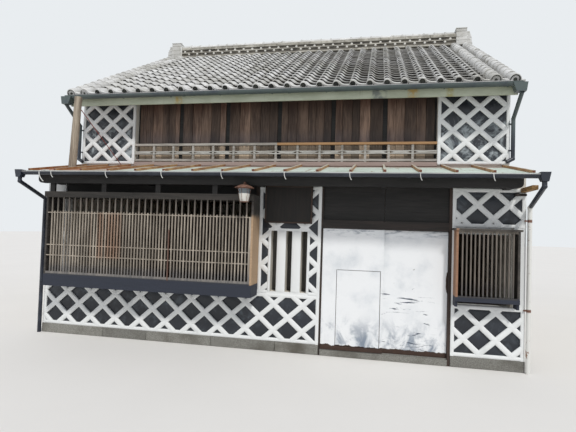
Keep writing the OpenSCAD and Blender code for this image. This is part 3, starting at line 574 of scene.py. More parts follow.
class Shape:
    """Collects closed solids, each with its own tone, and turns them into one piece."""

    def __init__(self):
        self.verts, self.faces, self.tones = [], [], []

    def solid(self, verts, faces, tone=0.0):
        n = len(self.verts)
        self.verts += [tuple(v) for v in verts]
        self.faces += [tuple(n + i for i in f) for f in faces]
        self.tones += [tone] * len(faces)

    def block(self, lo, hi, chamfer=0.003, tone=0.0, matrix=None):
        """Box with chamfered edges: a face a side, a strip an edge and a triangle a corner."""
        c = [(a + b) / 2 for a, b in zip(lo, hi)]
        h = [abs(b - a) / 2 for a, b in zip(lo, hi)]
        k = min(chamfer, *[x * 0.45 for x in h])
        verts, index = [], {}
        signs = [(x, y, z) for x in (-1, 1) for y in (-1, 1) for z in (-1, 1)]
        for s in signs:
            for a in range(3):
                index[s, a] = len(verts)
                verts.append(Vector([c[i] + s[i] * (h[i] if i == a else h[i] - k) for i in range(3)]))

        def corner(a, s, p, q):
            """Corner on side s of axis a, with the signs of the two axes after it."""
            v = [0, 0, 0]
            v[a], v[(a + 1) % 3], v[(a + 2) % 3] = s, p, q
            return tuple(v)

        faces = [[index[s, a] for a in range(3)] for s in signs]
        for a in range(3):
            b, d = (a + 1) % 3, (a + 2) % 3
            for s in (-1, 1):
                faces.append([index[corner(a, s, p, q), a] for p, q in ((-1, -1), (1, -1), (1, 1), (-1, 1))])
            for p in (-1, 1):
                for q in (-1, 1):
                    near, far = corner(a, -1, p, q), corner(a, 1, p, q)
                    faces.append([index[near, b], index[near, d], index[far, d], index[far, b]])
        if matrix is not None:
            verts = [matrix @ v for v in verts]
        self.solid(verts, faces, tone)

    def sweep(self, rings, tone=0.0):
        """Joins rings of points, each the same length, into a skin with two caps."""
        n = len(rings[0])
        verts = [p for r in rings for p in r]
        faces = [(i * n + j, i * n + (j + 1) % n, (i + 1) * n + (j + 1) % n, (i + 1) * n + j)
                 for i in range(len(rings) - 1) for j in range(n)]
        faces += [tuple(range(n))[::-1], tuple(range((len(rings) - 1) * n, len(rings) * n))]
        self.solid(verts, faces, tone)

    def lathe(self, profile, centre=(0, 0, 0), turn=None, sides=24):
        """Profile of (radius, height), turned round +Z, then turned and placed."""
        m = Matrix.Translation(centre) @ (turn.to_4x4() if turn else Matrix.Identity(4))
        self.sweep([[m @ Vector((u, v, z)) for u, v in arc(r, sides)[:-1]] for r, z in profile])

    def tube(self, path, radius, sides=12):
        """Round rod along a path."""
        path = [Vector(p) for p in path]
        rings = []
        side = None
        for i, p in enumerate(path):
            t = (path[min(i + 1, len(path) - 1)] - path[max(i - 1, 0)]).normalized()
            if side is None:
                side = t.orthogonal().normalized()
            side = (side - t * side.dot(t)).normalized()
            up = t.cross(side)
            rings.append([p + u * side + v * up for u, v in arc(radius, sides)[:-1]])
        self.sweep(rings)

    def build(self, name, material=None, smooth=38):
        """Mesh object with every face outward."""
        mesh = bpy.data.meshes.new(name)
        mesh.from_pydata(self.verts, [], self.faces)
        a = mesh.attributes.new("tone", "FLOAT", "FACE")
        a.data.foreach_set("value", self.tones)
        bm = bmesh.new()
        bm.from_mesh(mesh)
        bmesh.ops.recalc_face_normals(bm, faces=bm.faces)
        bm.to_mesh(mesh)
        bm.free()
        return put(name, mesh, material, smooth)


def put(name, mesh, material=None, smooth=38):
    """Links a mesh as an object at the origin, smooth except along sharp edges."""
    o = bpy.data.objects.new(name, mesh)
    bpy.context.scene.collection.objects.link(o)
    if material is not None:
        mesh.materials.clear()
        mesh.materials.append(material)
    if smooth:
        mesh.polygons.foreach_set("use_smooth", [True] * len(mesh.polygons))
        mesh.set_sharp_from_angle(angle=math.radians(smooth))
    return o


def ride(piece, replaces=()):
    """Fixes a piece to the house, in place of the nodes that it replaces."""
    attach(piece, "house")
    if replaces:
        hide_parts(*replaces)
    return piece


def dress(material, *nodes):
    """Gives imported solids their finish."""
    for n in nodes:
        mesh = NODES[n].data
        mesh.materials.clear()
        mesh.materials.append(material)


# Geometry nodes

def new_tree(name, inputs):
    """A node tree with a geometry in and out and named inputs."""
    t = bpy.data.node_groups.new(name, "GeometryNodeTree")
    t.interface.new_socket("Geometry", in_out="INPUT", socket_type="NodeSocketGeometry")
    for label, kind in inputs:
        t.interface.new_socket(label, in_out="INPUT", socket_type="NodeSocket" + kind)
    t.interface.new_socket("Geometry", in_out="OUTPUT", socket_type="NodeSocketGeometry")
    return t, add(t, "NodeGroupInput").outputs


def rows_tree():
    """Repeats the piece in rows across and along, each with a small random
    turn, shift and tone, then turns and places the whole field."""
    t, g = new_tree("repeated_piece", [
        ("Across", "Int"), ("Along", "Int"), ("Start", "Vector"), ("Step Across", "Vector"),
        ("Step Along", "Vector"), ("Shift", "Float"), ("Twist", "Vector"),
        ("Seed", "Int"), ("Turn", "Vector"), ("Place", "Vector"), ("Finish", "Material")])

    def math_node(operation, a, b=0.0):
        return add(t, "ShaderNodeMath", {0: a, 1: b}, operation=operation).outputs[0]

    def vector_node(operation, a, b=None, scale=None):
        links = {0: a}
        if b is not None:
            links[1] = b
        if scale is not None:
            links[3] = scale
        return add(t, "ShaderNodeVectorMath", links, operation=operation).outputs[0]

    def random_vector(seed):
        return add(t, "FunctionNodeRandomValue", {0: (-1, -1, -1), 1: (1, 1, 1), "Seed": seed},
                   data_type="FLOAT_VECTOR").outputs[0]

    def turned(angles):
        return add(t, "FunctionNodeEulerToRotation", {0: angles}).outputs[0]

    index = add(t, "GeometryNodeInputIndex").outputs[0]
    row = math_node("FLOOR", math_node("DIVIDE", index, g["Across"]))
    col = math_node("MODULO", index, g["Across"])
    p = g["Start"]
    for step, times in (("Step Across", col), ("Step Along", row)):
        p = vector_node("ADD", p, vector_node("SCALE", g[step], scale=times))
    p = vector_node("ADD", p, vector_node("SCALE", random_vector(g["Seed"]), scale=g["Shift"]))
    count = math_node("MULTIPLY", g["Across"], g["Along"])
    points = add(t, "GeometryNodePoints", {"Count": count, "Position": p}).outputs[0]
    spin = vector_node("MULTIPLY", random_vector(math_node("ADD", g["Seed"], 7.0)), g["Twist"])
    made = add(t, "GeometryNodeInstanceOnPoints", {"Points": points, "Instance": g["Geometry"],
               "Rotation": turned(spin)}).outputs[0]
    tone = add(t, "FunctionNodeRandomValue", {2: -0.5, 3: 0.5, "Seed": math_node("ADD", g["Seed"], 13.0)},
               data_type="FLOAT").outputs[1]
    made = add(t, "GeometryNodeStoreNamedAttribute", {"Geometry": made, "Name": "tone", "Value": tone},
               data_type="FLOAT", domain="INSTANCE").outputs[0]
    made = add(t, "GeometryNodeRealizeInstances", {0: made}).outputs[0]
    made = add(t, "GeometryNodeTransform", {"Geometry": made, "Translation": g["Place"],
               "Rotation": turned(g["Turn"])}).outputs[0]
    made = add(t, "GeometryNodeSetMaterial", {"Geometry": made, "Material": g["Finish"]}).outputs[0]
    add(t, "NodeGroupOutput", {0: made})
    return t


def bars_tree():
    """Lays a rounded plaster bar along each edge drawn flat, then stands the
    panel up against the wall."""
    t, g = new_tree("plaster_bars", [
        ("Width", "Float"), ("Crown", "Float"), ("Wall Y", "Float"), ("Finish", "Material")])
    lines = add(t, "GeometryNodeMeshToCurve", {0: g["Geometry"]}).outputs[0]
    lines = add(t, "GeometryNodeSetCurveNormal", {0: lines}, mode="Z_UP").outputs[0]
    section = add(t, "GeometryNodeCurveArc", {"Resolution": 9, "Radius": 0.5, "Start Angle": math.pi,
              "Sweep Angle": math.pi}, mode="RADIUS").outputs[0]
    section = add(t, "GeometryNodeSetSplineCyclic", {"Geometry": section, "Cyclic": True}).outputs[0]
    high = add(t, "ShaderNodeMath", {0: g["Crown"], 1: 2.0}, operation="MULTIPLY").outputs[0]
    size = add(t, "ShaderNodeCombineXYZ", {0: g["Width"], 1: high, 2: 1.0}).outputs[0]
    section = add(t, "GeometryNodeTransform", {"Geometry": section, "Scale": size}).outputs[0]
    made = add(t, "GeometryNodeCurveToMesh", {0: lines, 1: section, "Fill Caps": True}).outputs[0]
    at = add(t, "ShaderNodeCombineXYZ", {0: 0.0, 1: g["Wall Y"], 2: 0.0}).outputs[0]
    made = add(t, "GeometryNodeTransform", {"Geometry": made, "Translation": at,
               "Rotation": (math.pi / 2, 0, 0)}).outputs[0]
    made = add(t, "GeometryNodeSetMaterial", {"Geometry": made, "Material": g["Finish"]}).outputs[0]
    add(t, "NodeGroupOutput", {0: made})
    return t


# Node trees made so far, by the function that makes them
TREES = {}


def grow(name, seed, tree, values, smooth):
    """Runs a tree on a seed object and keeps the result as a plain mesh."""
    if tree not in TREES:
        TREES[tree] = tree()
    group = TREES[tree]
    mod = seed.modifiers.new("grow", "NODES")
    mod.node_group = group
    known = {i.name: i.identifier for i in group.interface.items_tree if i.in_out == "INPUT"}
    for label, value in values.items():
        mod[known[label]] = value
    dg = bpy.context.evaluated_depsgraph_get()
    mesh = bpy.data.meshes.new_from_object(seed.evaluated_get(dg))
    if len(mesh.polygons) == 0:
        raise ValueError(f"{name} came out empty")
    mesh.name = name
    bpy.data.objects.remove(seed)
    return ride(put(name, mesh, None, smooth))


def field(name, shape, material, slot="roof_tile", across=1, along=1, start=(0, 0, 0), step=(0, 0, 0),
          step2=(0, 0, 0), shift=0.0, twist=(0, 0, 0), seed=1, turn=(0, 0, 0), at=(0, 0, 0), smooth=38):
    """Repeats a small shape in rows through the rows tree."""
    seed_object = shape.build(name + "_seed", material, 0)
    seed_object.data.attributes.remove(seed_object.data.attributes["tone"])
    return grow(name, seed_object, rows_tree, {
        "Across": across, "Along": along, "Start": start, "Step Across": step, "Step Along": step2,
        "Shift": shift, "Twist": twist, "Seed": seed, "Turn": turn, "Place": at,
        "Finish": material}, smooth)


# Roof

# Each slope's turn, and the place of the middle of its lower edge
SLOPES = {
    "front": {"turn": (PITCH, 0, 0), "at": (0, EAVE_Y, EAVE_Z)},
    "back": {"turn": (PITCH, 0, math.pi), "at": (0, 2 * RIDGE_Y - EAVE_Y, EAVE_Z)},
}
# Section of a pantile across the slope, upper face and underside: the roll is
# centred on x = 0, its right flank runs down into the hollow, and the hollow's
# far edge lies under the next roll.
PANTILE = [(-0.046, -0.010), (-0.045, 0.010), (-0.037, 0.028), (-0.021, 0.039), (0.000, 0.043),
           (0.019, 0.039), (0.036, 0.029), (0.053, 0.013), (0.074, -0.007), (0.103, -0.021),
           (0.135, -0.028), (0.165, -0.030), (0.200, -0.029), (0.234, -0.026)]
PANTILE_UNDER = [(-0.035, -0.011), (-0.034, 0.000), (-0.027, 0.016), (-0.016, 0.025), (0.000, 0.028),
                 (0.015, 0.025), (0.030, 0.015), (0.045, 0.000), (0.072, -0.021), (0.101, -0.036),
                 (0.133, -0.045), (0.165, -0.048), (0.200, -0.047), (0.234, -0.044)]


def pantile_shape(step, lift):
    """One tile: its lower end stands on the next course, its head dips under the one above."""
    s = Shape()
    rings = []
    for y in (0.0, 0.010, step + 0.045):
        up = lift * (1 - y / step) - 0.012
        top = [(x, y, z + up - (0.004 if y == 0 else 0)) for x, z in PANTILE]
        low = [(x, y, z + up) for x, z in PANTILE_UNDER]
        rings.append(top + low[::-1])
    s.sweep(rings)
    return s


def eave_lip_shape(lift):
    """Thick lower edge of an eave tile: it hangs down over the board's end."""
    s = Shape()
    rings = []
    for y, fall in ((-0.026, 0.006), (-0.020, 0.0), (0.030, 0.0)):
        top = [(x, y, z + lift - 0.010 - fall) for x, z in PANTILE]
        low = [(x, y, z + lift - 0.012 - (0.034 if x > 0.06 else 0.010) + fall) for x, z in PANTILE_UNDER]
        rings.append(top + low[::-1])
    s.sweep(rings)
    return s


def rim_profile(r, deep=0.03):
    """Raised rim of a round eave face, closed to a ring."""
    inner = (r * 0.82, -deep)
    return [inner, (r * 0.82, -0.004), (r * 0.86, 0.002), (r * 0.95, 0.002), (r, -0.004), (r, -deep), inner]


def barrel_shape(step, r0, r1, collar=0.0):
    """Large half-round tile that tapers up the slope, with a collar at its foot if it has one."""
    skirt = 0.03
    s = Shape()
    stations = [(0.0, r0 - 0.003), (0.006, r0), (0.030, r0), (step + 0.03, r1)]
    if collar:
        wide = r0 + collar
        stations = [(0.0, wide - 0.003), (0.006, wide), (0.034, wide), (0.040, r0), (step + 0.02, r1)]
    s.sweep([[(-r * 0.98, y, -skirt)] + [(-u, y, v) for u, v in arc(r, 10, math.pi)] + [(r * 0.98, y, -skirt)]
             for y, r in stations])
    return s


def disc_profile(r, deep=0.024):
    """Round eave face: raised rim, sunk ring, low boss."""
    return [(TIP, 0.0), (r * 0.30, 0.0), (r * 0.42, -0.006), (r * 0.72, -0.006), (r * 0.80, 0.002),
            (r * 0.95, 0.002), (r, -0.003), (r, -deep), (TIP, -deep)]


def eave_faces(name, rim, face, sides, x, z, **rows):
    """Rows of round eave ends that look down the slope. The rim and the face
    are each a radius and how far they stand out over the eave."""
    facing = Matrix.Rotation(math.pi / 2, 3, "X")
    for part, profile, out, material in (("rims", rim_profile(rim[0]), rim[1], M["tile"]),
                                         ("faces", disc_profile(face[0]), face[1], M["disc"])):
        s = Shape()
        s.lathe(profile, turn=facing, sides=sides)
        field(name.format(part), s, material, start=(x, -out, z), step=(TILE_W, 0, 0), smooth=30, **rows)


def make_roof(sizes):
    step = SLOPE_FACE / sizes.courses
    lift = sizes.tile_lift
    big_z = -0.006
    for side, slope in SLOPES.items():
        # boards and clay bed under the tiles, cut upright under the ridge
        m = Matrix.Translation(slope["at"]) @ Euler(slope["turn"]).to_matrix().to_4x4()
        s = Shape()
        half, low, high = 3.734, -0.100, -0.060
        corners = ((-half, low), (half, low), (half, high), (-half, high))
        s.sweep([[m @ Vector((x, 0.0, z)) for x, z in corners],
                 [m @ Vector((x, SLOPE_L + z * math.tan(PITCH), z)) for x, z in corners]])
        ride(s.build(f"roof_boards_{side}", M["bed"]), replaces=(f"roof_{side}",))
        field(f"pantiles_{side}", pantile_shape(step, lift), M["field_tile"], across=TILE_ROWS,
              along=sizes.courses, start=(-VERGE_X, 0, 0), step=(TILE_W, 0, 0), step2=(0, step, 0),
              shift=0.0022, twist=(0.006, 0.008, 0.012), seed=3 if side == "front" else 5, smooth=30, **slope)
        # the lower edge of the eave course, with a round face on each roll
        field(f"eave_lips_{side}", eave_lip_shape(lift), M["tile"], across=TILE_ROWS,
              start=(-VERGE_X, 0, 0), step=(TILE_W, 0, 0), shift=0.001, twist=(0.0, 0.006, 0.008), seed=8,
              smooth=30, **slope)
        eave_faces("eave_disc_{}_" + side, (sizes.disc_r, 0.032), (sizes.disc_r * 0.85, 0.028), 20,
                   TILE_W - ROW_X, 0.006, across=TILE_ROWS - 3, seed=9, **slope)
        # two rows of large round tiles along each verge
        big = barrel_shape(step, 0.088, 0.065)
        for k, x in enumerate((-VERGE_X, -ROW_X, ROW_X, VERGE_X)):
            field(f"verge_tiles_{side}_{k + 1}", big, M["tile"], along=sizes.courses,
                  start=(x, -0.022, big_z), step2=(0, step, 0), shift=0.002, twist=(0.008, 0.006, 0.010),
                  seed=20 + k, smooth=30, **slope)
        eave_faces("verge_disc_{}_" + side, (0.086, 0.030), (0.073, 0.024), 28, -VERGE_X, big_z, across=2,
                   along=2, step2=(ROW_X + VERGE_X, 0, 0), seed=12, **slope)
        # side tiles: plain hanging ones, and on the street side's right verge
        # ones that stand out in steps
        plain = Shape()
        plain.block((-0.012, 0, -0.135), (0.010, step + 0.02, -0.01), 0.004)
        wide = Shape()
        tip = Matrix.Rotation(-0.100, 4, "X")
        wide.block((-0.020, 0, -0.036), (0.085, step + 0.012, -0.016), 0.003, matrix=tip)
        wide.block((0.065, 0, -0.118), (0.085, step + 0.012, -0.034), 0.003, matrix=tip)
        for k, (sign, shape) in enumerate(((-1, plain), (1, wide if side == "front" else plain))):
            field(f"verge_skirts_{side}_{k + 1}", shape, M["tile"], along=sizes.courses,
                  start=(sign * (VERGE_X + 0.064), -0.006, 0), step2=(0, step, 0.0),
                  twist=(0.0, 0.02, 0.006), seed=14 + k, **slope)


def make_ridge():
    z0, half = RIDGE_LO[2], RIDGE_HI[0]
    cap_z = z0 + 0.272
    core = Shape()
    core.block((-half, RIDGE_Y - 0.116, z0 + 0.002), (half, RIDGE_Y + 0.116, cap_z), 0.004)
    ride(core.build("ridge_core", M["ridge_core"]), replaces=("ridge_stack",))
    # flat tiles laid end to end: foot, thin middle row and the rows under the
    # caps (height, thickness, half width)
    n = 24
    step = 2 * half / n
    flats = [(0.000, 0.022, 0.150), (0.021, 0.022, 0.144), (0.1155, 0.024, 0.139),
             (0.198, 0.026, 0.139), (0.223, 0.026, 0.134), (0.248, 0.026, 0.128)]
    for k, (h, t, w) in enumerate(flats):
        s = Shape()
        s.block((0.0015, -w, 0), (step - 0.0015, w, t - 0.003), 0.004)
        field(f"ridge_course_{k + 1}", s, M["ridge"], across=n, start=(-half, RIDGE_Y, z0 + h),
              step=(step, 0, 0), shift=0.0008, twist=(0.004, 0.002, 0.006), seed=30 + k)
    # two rows of small round ends, the lower one half a step along
    bead = Shape()
    bead.lathe([(TIP, 0.022), (0.016, 0.021), (0.026, 0.014), (0.030, 0.004), (0.030, -0.02), (TIP, -0.02)],
               sides=12)
    bead_step = 0.230
    for k, h in enumerate((0.090, 0.158)):
        for side, sign in (("front", -1), ("back", 1)):
            m = 29 + k
            field(f"ridge_beads_{side}_{k + 1}", bead, M["bead"], across=m,
                  start=(-(m - 1) * bead_step / 2, 0, 0), step=(bead_step, 0, 0), shift=0.002, seed=40 + k,
                  turn=(math.pi / 2, 0, 0 if sign < 0 else math.pi), at=(0, RIDGE_Y + sign * 0.118, z0 + h))
    # round caps, each with a raised collar over the joint
    n = 28
    step = 2 * half / n
    field("ridge_caps", barrel_shape(step, 0.084, 0.079, 0.014), M["tile"], along=n, start=(0, -half, 0),
          step2=(0, step, 0), shift=0.0015, twist=(0.006, 0.01, 0.006), seed=50,
          turn=(0, 0, -math.pi / 2), at=(0, RIDGE_Y, cap_z), smooth=30)
    make_ridge_ends(z0, half)


def make_ridge_ends(z0, half):
    """A tall block of stacked tiles under a small roll at each end, with
    layers that step out past it over the verge."""
    # bottom, top and half width of the block's tiles; then of the layers, with their reach
    stack = (0.000, 0.104, 0.148), (0.108, 0.196, 0.140), (0.200, 0.318, 0.130), (0.322, 0.392, 0.122)
    layers = ((0.000, 0.034, 0.150, 0.115), (0.038, 0.070, 0.146, 0.108), (0.074, 0.106, 0.142, 0.102),
              (0.112, 0.148, 0.132, 0.104), (0.152, 0.190, 0.130, 0.096), (0.194, 0.236, 0.126, 0.088),
              (0.242, 0.280, 0.114, 0.073), (0.284, 0.326, 0.110, 0.064))
    s = Shape()
    rng = random.Random(13)
    a, b = half + 0.002, half + 0.245

    def slab(sign, x0, x1, w, lo, hi, chamfer):
        xs = sorted((sign * x0, sign * x1))
        s.block((xs[0], RIDGE_Y - w, z0 + lo), (xs[1], RIDGE_Y + w, z0 + hi), chamfer, rng.uniform(-0.4, 0.4))

    for sign in (-1, 1):
        for lo, hi, w in stack:
            slab(sign, a, b, w, lo, hi, 0.008)
        slab(sign, a - 0.004, b + 0.006, 0.128, 0.394, 0.412, 0.006)
        for lo, hi, w, out in layers:
            slab(sign, b - 0.06, b + out, w, lo, hi, 0.005)
        roll = [(0.052, -0.012)] + arc(0.052, 8, math.pi) + [(-0.052, -0.012)]
        stations = ((a + 0.024, 0.96), (a + 0.030, 1.08), (a + 0.060, 1.08), (a + 0.064, 1.0),
                    (b - 0.036, 1.0), (b - 0.030, 0.94))
        s.sweep([[Vector((sign * x, RIDGE_Y + k * u, z0 + 0.408 + k * v)) for u, v in roll]
                 for x, k in stations], 0.2)
        for dy in (-0.100, 0.100):
            s.lathe(disc_profile(0.034, 0.03), (sign * (b + 0.100), RIDGE_Y + dy, z0 + 0.168),
                    Matrix.Rotation(math.pi / 2 * sign, 3, "Y"), 16)
    ride(s.build("ridge_ornaments", M["tile"]), replaces=("ridge_ends",))
    # fresh lime where the left end meets the ridge
    s = Shape()
    s.block((-3.456, RIDGE_Y - 0.156, z0 + 0.006), (-3.416, RIDGE_Y + 0.156, z0 + 0.300), 0.008)
    ride(s.build("ridge_end_lime", M["bead"]))


# Plaster panels

# x0, z0, x1, z1, a crossing, spacing of the crossings; then a part left plain
LOWER_PANELS = [
    (-X_OUT, 0.150, 0.924, 0.860, 0.014, 0.508, 0.440, 0.390, None),
    (-0.030, 0.860, 0.924, 2.490, 0.014, 0.898, 0.440, 0.390, (0.1215, 0.860, 0.7585, 1.850)),
    (2.775, 0.150, X_OUT, 0.860, X_OUT - 0.578, 0.590, 0.4224, 0.390, None),
    (2.775, 1.948, X_OUT, 2.490, X_OUT - 0.625, 2.264, 0.4136, 0.390, None),
]
UPPER_PANELS = [
    (2.655, 2.950, X_OUT, 4.180, X_OUT - 0.846, 3.865, 0.440 * 0.911, 0.390 * 0.954, None),
    (-X_OUT, 2.950, -2.655, 4.180, 0.414 - X_OUT, 3.880, 0.440 * 0.895, 0.390 * 0.903, None),
]
# Width of the bars round a panel
BORDER = 0.050


def clip_line(p, q, box, inside=True):
    """Parts of the line p-q inside the box, or outside it."""
    d = (q[0] - p[0], q[1] - p[1])
    t0, t1 = 0.0, 1.0
    for a, (lo, hi) in enumerate(((box[0], box[2]), (box[1], box[3]))):
        if abs(d[a]) < 1e-9:
            if not lo <= p[a] <= hi:
                return [] if inside else [(p, q)]
            continue
        u, v = sorted(((lo - p[a]) / d[a], (hi - p[a]) / d[a]))
        t0, t1 = max(t0, u), min(t1, v)
    if t0 >= t1:
        return [] if inside else [(p, q)]
    first, last = [(p[0] + d[0] * t, p[1] + d[1] * t) for t in (t0, t1)]
    if inside:
        return [(first, last)]
    return [(a, b) for a, b, keep in ((p, first, t0 > 0.001), (last, q, t1 < 0.999)) if keep]


def bar_lines(panel):
    """Middle lines of a panel's slanting bars."""
    x0, z0, x1, z1, cx, cz, px, pz, plain = panel
    b = BORDER / 2
    inner = (x0 + b, z0 + b, x1 - b, z1 - b)
    out = []
    n = int((x1 - x0) / px + (z1 - z0) / pz) + 3
    for k in range(-n, n + 1):
        for slant in (1, -1):
            ends = [(x, cz + slant * (x - cx) * pz / px + k * pz) for x in (x0 - 1, x1 + 1)]
            for line in clip_line(*ends, inner):
                out += clip_line(*line, plain, inside=False) if plain else [line]
    return [line for line in out if math.dist(*line) > 0.04]


def border_lines(panel):
    """Middle lines of the four bars round a panel."""
    x0, z0, x1, z1 = panel[:4]
    plain = panel[8]
    b = BORDER / 2
    xa, za, xb, zb = x0 + b, z0 + b, x1 - b, z1 - b
    out = []
    for line in (((x0, za), (x1, za)), ((x0, zb), (x1, zb)), ((xa, z0), (xa, z1)), ((xb, z0), (xb, z1))):
        out += clip_line(*line, plain, inside=False) if plain else [line]
    return out


def clip_polygon(poly, box):
    """Polygon cut to a rectangle."""
    for a, value, sign in ((0, box[0], 1), (0, box[2], -1), (1, box[1], 1), (1, box[3], -1)):
        out = []
        for i, p in enumerate(poly):
            q = poly[(i + 1) % len(poly)]
            fp, fq = sign * (p[a] - value), sign * (q[a] - value)
            if fp >= 0:
                out.append(p)
            if (fp > 0 > fq) or (fp < 0 < fq):
                t = fp / (fp - fq)
                out.append((p[0] + (q[0] - p[0]) * t, p[1] + (q[1] - p[1]) * t))
        poly = out
        if len(poly) < 3:
            return []
    return poly


def tile_plates(shape, panel, y, rng, bar_w):
    """A dark tile in each field between the bars."""
    x0, z0, x1, z1, cx, cz, px, pz, plain = panel
    hx, hz = px / 2, pz / 2
    k = (bar_w - 0.012) / 2 * math.hypot(hx, hz)
    dx, dz = hx - k / hz, hz - k / hx
    e = BORDER - 0.006
    boxes = [(x0 + e, z0 + e, x1 - e, z1 - e)]
    if plain:
        left, top, right = plain[0], plain[3], plain[2]
        boxes = [(x0 + e, z0 + e, left, top), (right, z0 + e, x1 - e, top), (x0 + e, top, x1 - e, z1 - e)]
    n = int((x1 - x0) / hx + (z1 - z0) / hz) + 4
    for i in range(-n, n + 1):
        for j in range(-n, n + 1):
            if (i + j) % 2 == 0:
                continue
            mx, mz = cx + i * hx, cz + j * hz
            if mx + dx < x0 or mx - dx > x1 or mz + dz < z0 or mz - dz > z1:
                continue
            tilt = (rng.uniform(-0.012, 0.012), rng.uniform(-0.012, 0.012))
            tone = rng.uniform(-0.5, 0.5)
            for box in boxes:
                poly = clip_polygon([(mx - dx, mz), (mx, mz - dz), (mx + dx, mz), (mx, mz + dz)], box)
                if len(poly) < 3:
                    continue
                c = (sum(p[0] for p in poly) / len(poly), sum(p[1] for p in poly) / len(poly))
                rings = []
                for size, out in ((1, -0.004), (1, 0.004), (0.96, 0.0065)):
                    rings.append([
                        (c[0] + (u - c[0]) * size,
                         y - out - tilt[0] * (u - mx) - tilt[1] * (v - mz),
                         c[1] + (v - c[1]) * size) for u, v in poly])
                shape.sweep(rings, tone)


def make_lattice(sizes):
    rng = random.Random(11)
    levels = ("lower", LOWER_PANELS, BAR_F, CORE_F), ("upper", UPPER_PANELS, UP_BAR, UP_F)
    kinds = ("bars", bar_lines, sizes.bar_w, sizes.crown), ("border", border_lines, BORDER, sizes.crown * 0.8)
    for level, panels, y_bar, y_wall in levels:
        for kind, lines, width, crown in kinds:
            segs = [s for p in panels for s in lines(p)]
            mesh = bpy.data.meshes.new("lines")
            mesh.from_pydata([(x, z, 0) for seg in segs for x, z in seg],
                             [(2 * i, 2 * i + 1) for i in range(len(segs))], [])
            grow(f"plaster_{kind}_{level}", put("lines", mesh, None, 0), bars_tree,
                 {"Width": width - 0.002, "Crown": crown, "Wall Y": y_bar, "Finish": M["plaster"]},
                 40)
        s = Shape()
        for p in panels:
            tile_plates(s, p, y_wall, rng, sizes.bar_w)
        ride(s.build(f"wall_tiles_{level}", M["wall_tile"]))
    dress(M["plaster"], "dado_lattice", "window_lattice", "right_lattice", "upper_lattice")


# Timberwork

def board_row(shape, x0, x1, y0, y1, z0, z1, rng, lo=0.11, hi=0.20, gap=0.003):
    """Upright boards of uneven width from x0 to x1."""
    x = x0
    while x < x1 - 0.001:
        w = rng.uniform(lo, hi)
        if x1 - (x + w) < lo * 0.6:
            w = x1 - x
        d = rng.uniform(0, 0.004)
        shape.block((x + gap / 2, y0 + d, z0), (x + w - gap / 2, y1, z1), 0.003, rng.uniform(-0.5, 0.5))
        x += w


def make_shutters():
    rng = random.Random(4)
    lo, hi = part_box("shutters")
    z0, z1 = 2.9905, 4.12
    y = lo[1]
    edges = [-2.655, -1.800, -0.913, 0.033, 0.970, 1.830, 2.655]
    s = Shape()
    for a, b in zip(edges, edges[1:]):
        left, right = a + 0.036, b - 0.036
        board_row(s, left, right, y, y + 0.022, z0, z1 - 0.004, rng)
        for z in (z0 + 0.10, z0 + 0.56, z1 - 0.10):
            s.block((left, y + 0.022, z - 0.03), (right, y + 0.030, z + 0.03), 0.002)
    dark = Shape()
    for e in edges:
        dark.block((max(e - 0.05, -2.655), y + 0.020, z0), (min(e + 0.05, 2.655), y + 0.030, z1), 0.003)
    # back of the house: three shutters a storey, in a frame
    storeys = (2.930, 4.050), (0.860, 1.850)
    reach = 1.365
    width = 2 * reach / 3
    y = hi[1]
    for low, high in storeys:
        for i in range(3):
            left = -reach + i * width + 0.02
            right = left + width - 0.04
            board_row(s, left, right, y - 0.022, y, low, high, rng)
            for share in (0.08, 0.5, 0.92):
                z = low + share * (high - low)
                s.block((left, y, z - 0.025), (right, y + 0.014, z + 0.025), 0.003, -0.3)
        dark.block((-reach, y - 0.03, low), (reach, y - 0.022, high), 0.002)
    ride(s.build("shutter_boards", M["shutter"]), replaces=("shutters",))
    ride(dark.build("shutter_backs", M["dark_wood"]))
    f = Shape()
    y = BACK_Y - 0.02
    for low, high in storeys:
        f.block((-reach - 0.08, y, high), (reach + 0.08, y + 0.048, high + 0.09), 0.004)
        f.block((-reach - 0.10, y, low - 0.07), (reach + 0.10, y + 0.065, low), 0.004)
        for x in (-reach - 0.08, reach):
            f.block((x, y, low), (x + 0.08, y + 0.042, high), 0.004)
    ride(f.build("back_window_frames", M["lintel_wood"]))


def make_timber():
    for finish, nodes in (
            ("brown_wood", ["shutter_frame"]), ("lintel_wood", ["door_head"]), ("post_wood", ["front_posts"]),
            ("dark_wood", ["transoms", "wall_plate", "roof_purlin"]), ("plank_wood", ["name_plank"]),
            ("bay_wood", ["bay_frame", "small_bay_frame"]),
            ("slat_wood", ["bay_lattice", "small_bay_lattice"]),
            ("rail_wood", ["balustrade"]), ("boards", ["upper_floor"])):
        dress(M[finish], *nodes)
    # boards that close the slot window from inside
    rng = random.Random(9)
    s = Shape()
    board_row(s, -0.01, 0.91, 0.100, 0.118, 0.80, 1.90, rng, 0.05, 0.09)
    ride(s.build("window_boards", M["window_wood"]))
    # frame of the bare hanging plank
    (x0, y0, z0), (x1, y1, z1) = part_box("name_plank")
    w = 0.022
    s = Shape()
    for left, low, right, high in ((x0, z0, x1, z0 + w), (x0, z1 - w, x1, z1),
                                   (x0, z0, x0 + w, z1), (x1 - w, z0, x1, z1)):
        s.block((left, y0 - 0.009, low), (right, y0 + 0.002, high), 0.003, rng.uniform(-0.3, 0.3))
    ride(s.build("plank_frame", M["frame_wood"]))
    # arm and bare beam end under the street roof's right end
    s = Shape()
    s.block((3.655, -0.560, 2.440), (3.728, -0.100, 2.498), 0.004)
    ride(s.build("right_beam_end", M["end_wood"]))
    s = Shape()
    s.block((3.575, -0.150, 2.392), (3.722, -0.100, 2.424), 0.003)
    ride(s.build("right_bracket", M["lintel_wood"]))


